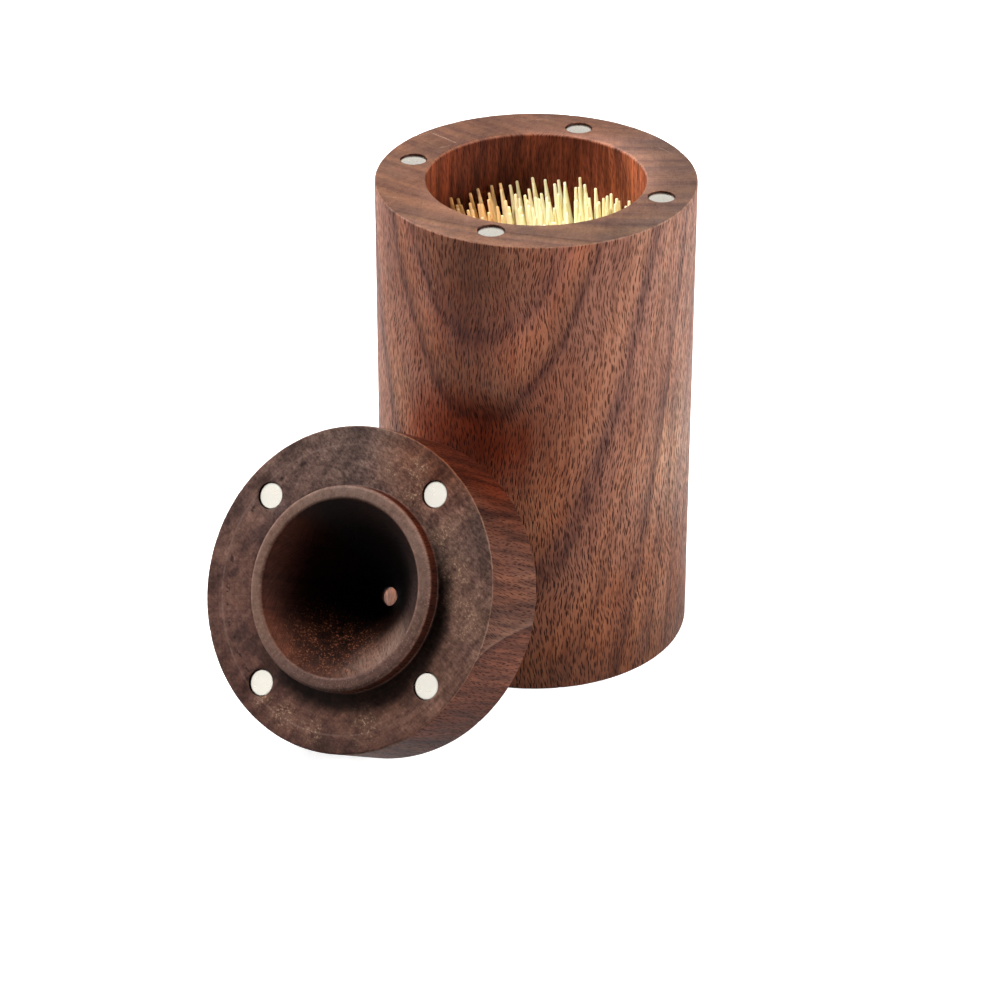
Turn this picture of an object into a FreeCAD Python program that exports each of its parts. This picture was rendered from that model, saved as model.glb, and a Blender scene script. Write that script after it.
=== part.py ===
import FreeCAD, Part
import math
import os

# Toothpick dispenser: a turned wooden cup full of loose toothpicks and a thick
# turned lid with a funnel and a small dispensing hole, held by four pairs of
# disc magnets. Millimetres, +Z up, origin at the centre of the cup's underside.
# The lid is stored off the cup: it stands on the edge of its outer face and
# leans back against the cup's wall.

# ---- driving dimensions ----
BODY_R = 30.0            # outer radius of cup and lid
CASING_H = 93.6          # height of the cup
BORE_R = 20.5            # radius of the cup's blind bore
FLOOR_T = 21.0           # thickness of wood under the bore
FOOT_EDGE = 0.6          # rounding of the foot's edge
RIM_EDGE = 0.35          # rounding of the rim's outer edge
BORE_EDGE = 0.5          # rounding of the bore's mouth
BORE_CORNER = 0.3        # rounding in the bore's bottom corner

MAGNET_R = 2.5           # disc magnets
MAGNET_T = 3.0
MAGNET_EDGE = 0.2
MAGNET_RECESS = 0.4      # face of each magnet below the wood around it
POCKET_R = 2.55
MAGNET_CIRCLE_R = 24.4   # radius of the circle the magnets stand on
CASING_MAGNET_AZ = -19.28  # direction of the first magnet in the cup's rim

LID_T = 17.15            # thickness of the lid without its spigot
LID_OUTER_EDGE = 0.4     # rounding of the edge at the lid's outer face
LID_INNER_EDGE = 0.3     # rounding of the edge at the lid's seating face
SPIGOT_R = 18.83         # outside of the collar that drops into the bore
SPIGOT_H = 3.0
SPIGOT_LIP_R = 16.27     # mouth of the funnel at the collar's lip
SPIGOT_OUT_EDGE = 0.8
SPIGOT_IN_EDGE = 0.6
SPIGOT_ROOT = 0.4
HOLE_R = 1.8             # dispensing hole
HOLE_L = 1.6             # straight length of the hole at the outer face

PICK_L = 65.0            # toothpicks
PICK_R = 1.0
PICK_TIP_R = 0.30
PICK_TAPER = 11.0
PICK_LIFT = 0.02         # clearance under the toothpicks' ends

# Lid where it is stored: centre of the seating face, direction that the
# seating face looks in, and direction of the lid's first magnet.
LID_POS = (-33.90854, -50.20792, 34.38390)
LID_FACES = (-0.45372870, -0.71890141, 0.52660330)
LID_MAGNET_DIR = (0.65577588, 0.13076689, 0.74354422)

V = FreeCAD.Vector


def arc(p0, pm, p1):
    return Part.Arc(V(*p0), V(*pm), V(*p1)).toShape()


def seg(p0, p1):
    return Part.LineSegment(V(*p0), V(*p1)).toShape()


def corner(c, r, a0, a1):
    """Arc of radius r about c in the X-Z plane, from angle a0 to a1 in degrees."""
    am = 0.5 * (a0 + a1)
    pts = [
        (c[0] + r * math.cos(math.radians(a)), 0.0, c[1] + r * math.sin(math.radians(a)))
        for a in (a0, am, a1)
    ]
    return pts


def profile(steps):
    """Closed X-Z wire from a list of ("p", x, z) points and ("a", pts) arcs,
    turned once about Z into a solid."""
    edges = []
    first = None
    last = None
    for s in steps:
        if s[0] == "p":
            p = (s[1], 0.0, s[2])
            if last is not None and V(*last).distanceToPoint(V(*p)) > 1e-6:
                edges.append(seg(last, p))
            last = p
        else:
            pts = s[1]
            if last is not None and V(*last).distanceToPoint(V(*pts[0])) > 1e-6:
                edges.append(seg(last, pts[0]))
            edges.append(arc(pts[0], pts[1], pts[2]))
            last = pts[2]
            if first is None:
                first = pts[0]
        if first is None:
            first = last
    if V(*last).distanceToPoint(V(*first)) > 1e-6:
        edges.append(seg(last, first))
    wire = Part.Wire(edges)
    face = Part.Face(wire)
    solid = face.revolve(V(0, 0, 0), V(0, 0, 1), 360)
    if solid.ShapeType != "Solid":
        solid = solid.Solids[0]
    return solid


def make_casing():
    r, h, b = BODY_R, CASING_H, BORE_R
    steps = [
        ("p", 0.0, 0.0),
        ("a", corner((r - FOOT_EDGE, FOOT_EDGE), FOOT_EDGE, -90, 0)),
        ("a", corner((r - RIM_EDGE, h - RIM_EDGE), RIM_EDGE, 0, 90)),
        ("a", corner((b + BORE_EDGE, h - BORE_EDGE), BORE_EDGE, 90, 180)),
        ("a", [
            (b, 0.0, FLOOR_T + BORE_CORNER),
            (b - BORE_CORNER * (1 - math.cos(math.radians(45))), 0.0,
             FLOOR_T + BORE_CORNER * (1 - math.sin(math.radians(45)))),
            (b - BORE_CORNER, 0.0, FLOOR_T),
        ]),
        ("p", 0.0, FLOOR_T),
    ]
    body = profile(steps)
    for k in range(4):
        a = math.radians(CASING_MAGNET_AZ + 90.0 * k)
        x, y = MAGNET_CIRCLE_R * math.cos(a), MAGNET_CIRCLE_R * math.sin(a)
        depth = MAGNET_T + MAGNET_RECESS
        body = body.cut(Part.makeCylinder(POCKET_R, depth + 1.0, V(x, y, h - depth)))
    return body


def make_magnet():
    """Disc with rounded edges, underside at z = 0."""
    m = Part.makeCylinder(MAGNET_R, MAGNET_T)
    rims = [e for e in m.Edges if e.Curve.TypeId == "Part::GeomCircle"]
    return m.makeFillet(MAGNET_EDGE, rims)


def make_lid():
    """Lid in its own frame: seating face at z = 0, spigot towards +Z."""
    r, t = BODY_R, LID_T
    mouth = (SPIGOT_LIP_R, SPIGOT_H)
    neck = (HOLE_R, -t + HOLE_L)
    # the funnel's wall runs from the lip's rounding down to the hole's neck
    start = (SPIGOT_LIP_R - 0.25, SPIGOT_H - SPIGOT_IN_EDGE)
    lip_c = (mouth[0] + 0.45, SPIGOT_H)
    steps = [
        ("p", HOLE_R, -t),
        ("a", corner((r - LID_OUTER_EDGE, -t + LID_OUTER_EDGE), LID_OUTER_EDGE, -90, 0)),
        ("a", corner((r - LID_INNER_EDGE, -LID_INNER_EDGE), LID_INNER_EDGE, 0, 90)),
        ("a", [
            (SPIGOT_R + SPIGOT_ROOT, 0.0, 0.0),
            (SPIGOT_R + SPIGOT_ROOT * (1 - math.sin(math.radians(45))), 0.0,
             SPIGOT_ROOT * (1 - math.cos(math.radians(45)))),
            (SPIGOT_R, 0.0, SPIGOT_ROOT),
        ]),
        ("a", corner((SPIGOT_R - SPIGOT_OUT_EDGE, SPIGOT_H - SPIGOT_OUT_EDGE), SPIGOT_OUT_EDGE, 0, 90)),
        ("a", [
            (lip_c[0], 0.0, SPIGOT_H),
            (mouth[0] - 0.02, 0.0, SPIGOT_H - 0.2),
            (start[0], 0.0, start[1]),
        ]),
        ("p", neck[0], neck[1]),
    ]
    body = profile(steps)
    for k in range(4):
        a = math.radians(90.0 * k)
        x, y = MAGNET_CIRCLE_R * math.cos(a), MAGNET_CIRCLE_R * math.sin(a)
        depth = MAGNET_T + MAGNET_RECESS
        body = body.cut(Part.makeCylinder(POCKET_R, depth + 1.0, V(x, y, -depth)))
    return body


def make_pick(length):
    """Round toothpick standing on z = 0, tapered at both ends."""
    lower = Part.makeCone(PICK_TIP_R, PICK_R, PICK_TAPER)
    shaft = Part.makeCylinder(PICK_R, length - 2 * PICK_TAPER, V(0, 0, PICK_TAPER))
    upper = Part.makeCone(PICK_R, PICK_TIP_R, PICK_TAPER, V(0, 0, length - PICK_TAPER))
    return lower.fuse([shaft, upper]).removeSplitter()


def place_pick(bx, by, tx, ty, shorter):
    """Toothpick leaning from (bx, by) on the bore's floor towards (tx, ty), the
    plan position of the tip of a full-length one."""
    dx, dy = tx - bx, ty - by
    flat = math.hypot(dx, dy)
    up = math.sqrt(PICK_L * PICK_L - flat * flat)
    direction = V(dx, dy, up)
    lift = PICK_TIP_R * flat / PICK_L
    p = make_pick(PICK_L - shorter)
    p.Placement = FreeCAD.Placement(
        V(bx, by, FLOOR_T + PICK_LIFT + lift), FreeCAD.Rotation(V(0, 0, 1), direction))
    return p


# Toothpicks by node: plan position of the lower end, plan position of the tip,
# and how much shorter than PICK_L each one is.
PICKS = {
    "toothpicks_core": [
        (8.73, -1.31, 3.33, 2.06, 2.29),
        (7.35, 0.08, 2.34, 4.35, 0.29),
        (5.58, -1.00, 1.00, 2.74, 0.38),
        (8.69, 4.46, -0.64, 4.54, 0.05),
        (7.56, 2.62, -2.73, 3.61, 1.00),
        (6.07, 1.26, -5.04, 3.04, 0.23),
        (6.07, -2.82, -4.39, -2.72, 0.97),
        (7.70, -4.19, -2.01, -2.83, 2.35),
        (5.59, -4.86, -3.10, -4.78, 0.49),
        (6.90, -6.23, 0.40, -4.89, 0.06),
        (9.07, -5.40, 1.60, -3.03, 0.27),
        (2.45, 0.20, 1.57, -2.12, 1.10),
        (9.91, -7.47, 3.68, -3.86, 0.87),
        (8.68, -2.87, 4.70, -2.36, 0.90),
        (6.76, -2.08, 3.07, -1.09, 1.03),
        (10.73, -1.59, 5.06, -0.25, 1.00),
    ],
    "toothpicks_mid_back": [
        (13.38, 5.69, 7.60, 7.91, 0.44),
        (12.37, 3.86, 5.46, 7.04, 0.32),
        (12.38, 7.55, 7.28, 9.96, 1.51),
        (10.32, 4.31, 3.37, 5.31, 0.70),
        (10.59, 7.33, 4.15, 12.02, 0.80),
        (11.98, 6.00, 2.45, 7.67, 0.32),
        (8.28, 11.68, 1.86, 12.03, 1.81),
        (9.89, 5.76, 0.46, 9.15, 0.24),
        (9.01, 7.54, -0.21, 11.36, 0.93),
        (8.02, 9.39, -2.29, 12.34, 0.84),
        (6.59, 7.82, -1.82, 9.80, 0.95),
        (7.80, 6.19, -1.54, 7.41, 0.94),
        (4.35, 7.64, -3.98, 10.79, 0.24),
        (5.58, 6.08, -3.45, 8.25, 2.08),
        (6.74, 4.42, -3.02, 5.93, 0.46),
        (3.64, 5.62, -5.88, 9.12, 0.64),
        (4.73, 4.01, -5.24, 6.62, 0.69),
    ],
    "toothpicks_mid_front": [
        (-0.74, -5.10, -5.96, -8.39, 0.38),
        (1.29, -6.27, -3.87, -6.72, 1.31),
        (-2.46, -6.53, -5.60, -10.88, 0.80),
        (3.29, -6.05, -1.66, -7.75, 0.71),
        (-0.85, -7.19, -1.95, -10.89, 0.94),
        (2.28, -10.38, -0.14, -12.09, 2.16),
        (1.58, -7.92, 0.78, -10.08, 1.24),
        (3.50, -8.67, 2.26, -11.68, 2.36),
        (4.57, -6.90, 2.50, -9.54, 0.55),
        (7.86, -8.03, 2.54, -6.00, 0.96),
        (5.34, -8.87, 5.21, -10.10, 0.40),
        (10.22, -9.40, 4.49, -6.19, 0.42),
    ],
    "toothpicks_mid_left": [
        (2.71, 3.62, -7.45, 7.36, 0.93),
        (4.19, 2.09, -6.58, 4.73, 1.52),
        (0.60, 3.54, -9.11, 5.27, 1.30),
        (-0.02, 1.73, -10.26, 2.95, 1.25),
        (0.34, -2.13, -11.67, 1.70, 0.07),
        (1.98, 2.58, -7.96, 0.92, 2.33),
        (2.50, -2.68, -10.67, -0.60, 0.53),
        (0.13, -3.73, -11.31, -2.62, 0.49),
        (1.93, -4.54, -9.05, -3.40, 0.11),
        (4.12, -2.22, -6.60, -2.58, 1.45),
        (-3.93, -7.59, -10.35, -4.31, 0.06),
        (-3.50, -9.62, -9.53, -6.20, 0.20),
        (4.02, -4.26, -6.99, -4.62, 0.93),
        (-2.91, -4.77, -7.22, -6.41, 1.77),
        (-4.91, -11.27, -8.85, -8.67, 0.67),
    ],
    "toothpicks_mid_right": [
        (14.29, -0.89, 8.09, 0.05, 1.54),
        (15.85, 0.10, 10.13, 2.21, 1.64),
        (9.53, 0.36, 8.19, 2.12, 0.74),
        (8.27, 2.65, 5.83, 2.28, 0.69),
        (14.50, 1.75, 11.55, 5.06, 0.01),
        (11.92, -0.38, 9.74, 4.71, 0.15),
        (10.41, 2.25, 7.56, 4.38, 0.20),
        (12.49, 1.56, 9.51, 6.96, 0.22),
        (11.09, -5.19, 7.11, -6.30, 0.89),
        (12.94, -5.97, 9.22, -6.88, 0.37),
        (10.86, -3.18, 5.95, -4.34, 0.68),
        (12.86, -4.01, 8.27, -4.58, 2.51),
        (14.66, -5.19, 10.65, -3.88, 0.71),
        (12.63, -2.06, 6.85, -2.31, 0.82),
        (14.47, -2.84, 9.27, -2.24, 0.87),
        (16.10, -3.84, 12.20, -2.20, 0.73),
        (16.34, -1.82, 10.12, -0.15, 0.32),
    ],
    "toothpicks_wall_back": [
        (9.27, 9.10, 5.45, 14.52, 0.05),
        (13.68, 11.29, 5.36, 17.63, 0.53),
        (12.17, 12.72, 4.15, 19.34, 0.83),
        (11.67, 10.82, 3.43, 16.88, 0.56),
        (10.73, 14.56, 1.58, 18.74, 0.60),
        (10.15, 13.00, 0.70, 15.01, 1.84),
        (8.69, 15.42, -0.61, 16.39, 0.49),
        (10.07, 16.87, -0.77, 19.25, 0.25),
        (8.13, 13.51, -1.50, 14.34, 0.67),
        (5.89, 12.44, -3.86, 19.77, 0.99),
        (5.61, 8.85, -3.57, 14.91, 2.53),
        (7.23, 10.47, -5.09, 17.54, 0.44),
    ],
    "toothpicks_wall_back_left": [
        (3.95, 13.32, -6.85, 16.10, 0.05),
        (4.89, 11.45, -6.73, 13.98, 0.25),
        (1.81, 12.71, -8.74, 18.04, 1.26),
        (4.25, 9.29, -9.03, 13.30, 0.25),
        (3.17, 10.78, -11.20, 15.64, 0.19),
        (2.97, 7.44, -9.14, 10.21, 0.50),
        (2.07, 9.28, -10.77, 11.73, 0.45),
        (0.07, 13.47, -12.64, 13.05, 0.49),
        (0.64, 7.23, -11.11, 9.77, 1.32),
        (-1.42, 11.14, -15.20, 13.22, 1.40),
        (2.07, 5.73, -10.30, 7.75, 0.32),
        (1.36, 11.80, -14.46, 10.08, 0.94),
        (0.08, 5.08, -12.51, 8.15, 0.18),
        (-3.31, 7.79, -16.17, 10.26, 0.06),
        (-1.78, 5.88, -15.03, 8.09, 0.42),
        (-1.26, 3.23, -12.08, 5.99, 0.98),
        (-4.62, 3.83, -17.46, 8.07, 1.39),
    ],
    "toothpicks_wall_back_right": [
        (17.04, 5.42, 14.89, 7.14, 0.92),
        (19.01, 4.44, 17.53, 8.58, 0.85),
        (18.62, 6.81, 15.19, 9.43, 0.78),
        (13.52, 3.47, 11.82, 7.69, 0.63),
        (14.78, 5.32, 13.41, 8.93, 0.10),
        (17.47, 8.64, 15.63, 11.65, 2.32),
        (14.26, 7.58, 9.99, 8.72, 0.39),
        (16.49, 6.76, 12.69, 11.57, 1.60),
        (16.42, 10.51, 14.21, 13.35, 1.67),
        (13.37, 9.43, 9.47, 10.71, 0.36),
        (15.54, 8.58, 11.25, 13.14, 0.28),
        (15.23, 10.97, 8.17, 13.31, 0.06),
        (15.06, 13.04, 9.20, 15.28, 0.44),
        (13.45, 14.24, 8.32, 17.73, 0.16),
        (11.35, 8.54, 7.46, 16.09, 1.21),
    ],
    "toothpicks_wall_front": [
        (-3.83, -15.71, -6.04, -18.46, 0.95),
        (-1.99, -8.82, -3.96, -12.18, 0.41),
        (-0.57, -10.71, -4.07, -14.72, 1.03),
        (-0.33, -12.54, -4.44, -17.70, 0.93),
        (0.36, -8.85, -2.32, -13.43, 0.26),
        (1.43, -11.56, -2.71, -16.28, 0.25),
        (-1.66, -15.16, -2.17, -19.11, 2.52),
        (0.36, -14.68, -0.67, -17.42, 0.52),
        (2.11, -13.67, 0.99, -16.02, 0.40),
        (3.15, -14.98, 1.87, -20.05, 2.14),
        (3.35, -12.17, 1.51, -13.37, 0.33),
        (4.44, -13.35, 2.41, -18.00, 0.39),
        (6.18, -12.09, 2.52, -15.50, 0.79),
        (4.54, -16.64, 5.12, -18.70, 0.44),
        (7.98, -11.12, 4.49, -14.71, 0.37),
        (7.17, -13.74, 5.60, -16.44, 1.80),
        (4.47, -10.59, 4.38, -12.47, 0.61),
        (6.38, -15.96, 7.42, -18.21, 0.80),
    ],
    "toothpicks_wall_front_left": [
        (-12.61, -5.52, -17.89, -7.49, 0.32),
        (-8.00, -2.94, -14.53, -6.31, 1.80),
        (-5.82, -4.99, -12.51, -5.76, 1.22),
        (-10.06, -9.03, -15.39, -8.01, 1.76),
        (-12.00, -7.39, -17.58, -9.83, 0.88),
        (-8.22, -5.05, -13.40, -8.22, 0.51),
        (-8.24, -10.03, -15.03, -10.84, 0.34),
        (-6.32, -6.90, -11.23, -8.27, 1.64),
        (-8.44, -7.16, -12.65, -10.18, 1.02),
        (-11.19, -10.23, -14.41, -14.07, 2.53),
        (-6.99, -8.67, -10.87, -11.21, 0.20),
        (-6.86, -10.72, -11.17, -13.26, 0.19),
        (-2.05, -11.16, -8.81, -11.72, 0.03),
        (-10.12, -11.69, -11.22, -15.45, 0.16),
        (-4.19, -12.52, -8.71, -13.97, 0.84),
        (-6.40, -12.36, -9.98, -16.73, 0.83),
        (-2.61, -14.93, -6.13, -11.76, 0.06),
        (-5.94, -15.25, -7.10, -16.24, 0.93),
    ],
    "toothpicks_wall_front_right": [
        (7.58, -9.11, 6.19, -12.53, 1.02),
        (8.94, -12.98, 7.73, -14.59, 1.36),
        (8.71, -14.90, 9.22, -17.13, 0.58),
        (10.85, -13.88, 9.84, -14.98, 0.97),
        (9.61, -11.38, 8.25, -11.01, 0.57),
        (12.73, -14.62, 11.95, -15.36, 0.28),
        (11.23, -9.18, 10.61, -12.18, 2.59),
        (11.04, -11.84, 12.31, -13.48, 0.08),
        (11.08, -7.02, 9.82, -10.29, 2.07),
        (13.68, -13.09, 14.21, -13.08, 0.65),
        (14.57, -9.72, 13.36, -11.00, 0.30),
        (13.00, -8.40, 11.95, -9.49, 0.07),
        (15.36, -11.91, 15.63, -11.57, 0.18),
        (16.02, -8.35, 13.79, -8.40, 0.90),
        (14.64, -7.02, 11.69, -6.88, 0.24),
        (16.42, -10.47, 17.29, -8.81, 1.00),
        (18.01, -8.41, 15.97, -6.77, 2.28),
    ],
    "toothpicks_wall_left": [
        (-3.13, 2.80, -14.78, 6.10, 0.58),
        (-1.94, 1.33, -12.80, 3.98, 0.09),
        (-4.63, 1.87, -17.67, 4.22, 0.52),
        (-3.46, 0.18, -15.51, 3.26, 0.74),
        (-1.36, -0.84, -13.80, 2.06, 0.21),
        (-6.51, 1.02, -19.31, 2.74, 1.48),
        (-5.44, -0.53, -16.77, 1.25, 0.07),
        (-4.47, -2.95, -19.37, -0.12, 0.56),
        (-3.39, -1.49, -14.78, -0.52, 0.29),
        (-2.73, -3.97, -17.52, -1.58, 0.15),
        (-1.32, -2.26, -14.26, -3.16, 2.54),
        (-7.77, -0.98, -19.61, -4.61, 1.71),
        (-9.81, -7.14, -16.69, -4.77, 0.35),
    ],
    "toothpicks_wall_right": [
        (17.17, -2.97, 17.53, 0.45, 0.38),
        (19.47, -0.04, 19.33, 0.88, 2.19),
        (18.57, 1.66, 15.11, 0.83, 1.75),
        (19.40, 3.31, 18.16, 2.34, 0.91),
        (16.61, 2.07, 13.28, 2.48, 1.20),
        (17.34, 3.43, 16.89, 5.42, 0.66),
        (15.42, 3.81, 14.43, 5.10, 2.54),
        (16.78, -6.76, 12.89, -4.58, 0.19),
        (18.83, -6.62, 16.35, -4.41, 0.55),
        (19.08, -3.90, 18.93, -3.95, 1.89),
        (17.53, -5.34, 15.36, -1.26, 0.24),
        (19.34, -1.97, 19.37, -1.58, 0.58),
        (17.63, -0.09, 12.83, -0.46, 1.30),
    ],
}


def main():
    os.makedirs("parts", exist_ok=True)
    out = {}

    out["casing"] = make_casing()
    magnet = make_magnet()
    for k in range(4):
        a = math.radians(CASING_MAGNET_AZ + 90.0 * k)
        m = magnet.copy()
        m.Placement = FreeCAD.Placement(
            V(MAGNET_CIRCLE_R * math.cos(a), MAGNET_CIRCLE_R * math.sin(a),
              CASING_H - MAGNET_RECESS - MAGNET_T), FreeCAD.Rotation())
        out["casing_magnet_%d" % (k + 1)] = m

    # the lid's own X, Y and Z in the stored position
    ez = V(*LID_FACES).normalize()
    ex = V(*LID_MAGNET_DIR)
    ex = (ex - ez * ex.dot(ez)).normalize()
    ey = ez.cross(ex)
    stored = FreeCAD.Placement(FreeCAD.Matrix(
        ex.x, ey.x, ez.x, LID_POS[0],
        ex.y, ey.y, ez.y, LID_POS[1],
        ex.z, ey.z, ez.z, LID_POS[2],
        0, 0, 0, 1))
    lid = make_lid()
    lid.Placement = stored
    out["lid"] = lid
    for k in range(4):
        a = math.radians(90.0 * k)
        m = magnet.copy()
        m.Placement = stored.multiply(FreeCAD.Placement(
            V(MAGNET_CIRCLE_R * math.cos(a), MAGNET_CIRCLE_R * math.sin(a),
              -MAGNET_RECESS - MAGNET_T), FreeCAD.Rotation()))
        out["lid_magnet_%d" % (k + 1)] = m

    # the toothpick on the axis, under the dispensing hole, stands upright
    out["toothpick_centre"] = place_pick(0.0, 0.0, 0.0, 0.0, 0.6)
    for name, rows in PICKS.items():
        out[name] = Part.makeCompound([place_pick(*row) for row in rows])

    for name, shape in out.items():
        shape.exportStep("parts/%s.step" % name)
        b = shape.BoundBox
        print("%-26s solids %3d  valid %s  volume %10.1f  z %.3f to %.3f" % (
            name, len(shape.Solids), shape.isValid(), shape.Volume, b.ZMin, b.ZMax))


main()
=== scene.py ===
import math
import random

import bmesh
import bpy
import numpy as np
from mathutils import Matrix, Vector


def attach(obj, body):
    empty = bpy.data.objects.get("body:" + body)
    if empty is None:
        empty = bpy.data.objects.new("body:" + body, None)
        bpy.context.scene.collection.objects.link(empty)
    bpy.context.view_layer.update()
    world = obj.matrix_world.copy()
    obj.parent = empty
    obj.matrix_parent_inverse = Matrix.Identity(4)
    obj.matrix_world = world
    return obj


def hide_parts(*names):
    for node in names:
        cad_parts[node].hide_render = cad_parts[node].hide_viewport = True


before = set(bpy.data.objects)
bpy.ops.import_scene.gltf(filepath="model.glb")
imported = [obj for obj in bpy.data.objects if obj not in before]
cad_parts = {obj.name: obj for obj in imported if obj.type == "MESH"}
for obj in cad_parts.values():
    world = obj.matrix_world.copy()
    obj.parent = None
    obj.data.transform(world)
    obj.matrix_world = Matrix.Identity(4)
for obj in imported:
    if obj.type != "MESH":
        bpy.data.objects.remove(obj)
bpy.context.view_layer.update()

# Toothpick dispenser: a turned walnut cup of toothpicks with its thick magnetic
# lid leaning against it. Metres in the scene; the numbers below are millimetres.

BODY_R = 30.0
CASING_H = 93.6
BORE_R = 20.5
FLOOR_T = 21.0
FOOT_EDGE = 0.6
RIM_EDGE = 0.35
BORE_EDGE = 0.5
BORE_CORNER = 0.3

MAGNET_R = 2.5
MAGNET_T = 3.0
MAGNET_EDGE = 0.2
MAGNET_RECESS = 0.4
POCKET_R = 2.55
MAGNET_CIRCLE_R = 24.4
CASING_MAGNET_AZ = -19.28

LID_T = 17.15
LID_OUTER_EDGE = 0.4
LID_INNER_EDGE = 0.3
SPIGOT_R = 18.83
SPIGOT_H = 3.0
SPIGOT_LIP_R = 16.27
SPIGOT_OUT_EDGE = 0.8
SPIGOT_ROOT = 0.4
HOLE_R = 1.8
HOLE_L = 1.6

PICK_L = 65.0
PICK_R = 1.0
PICK_TIP_R = 0.30
PICK_TAPER = 11.0
PICK_LIFT = 0.02

LID_POS = (-33.90854, -50.20792, 34.38390)
LID_FACES = (-0.45372870, -0.71890141, 0.52660330)
LID_MAGNET_DIR = (0.65577588, 0.13076689, 0.74354422)

MM = 0.001

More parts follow.
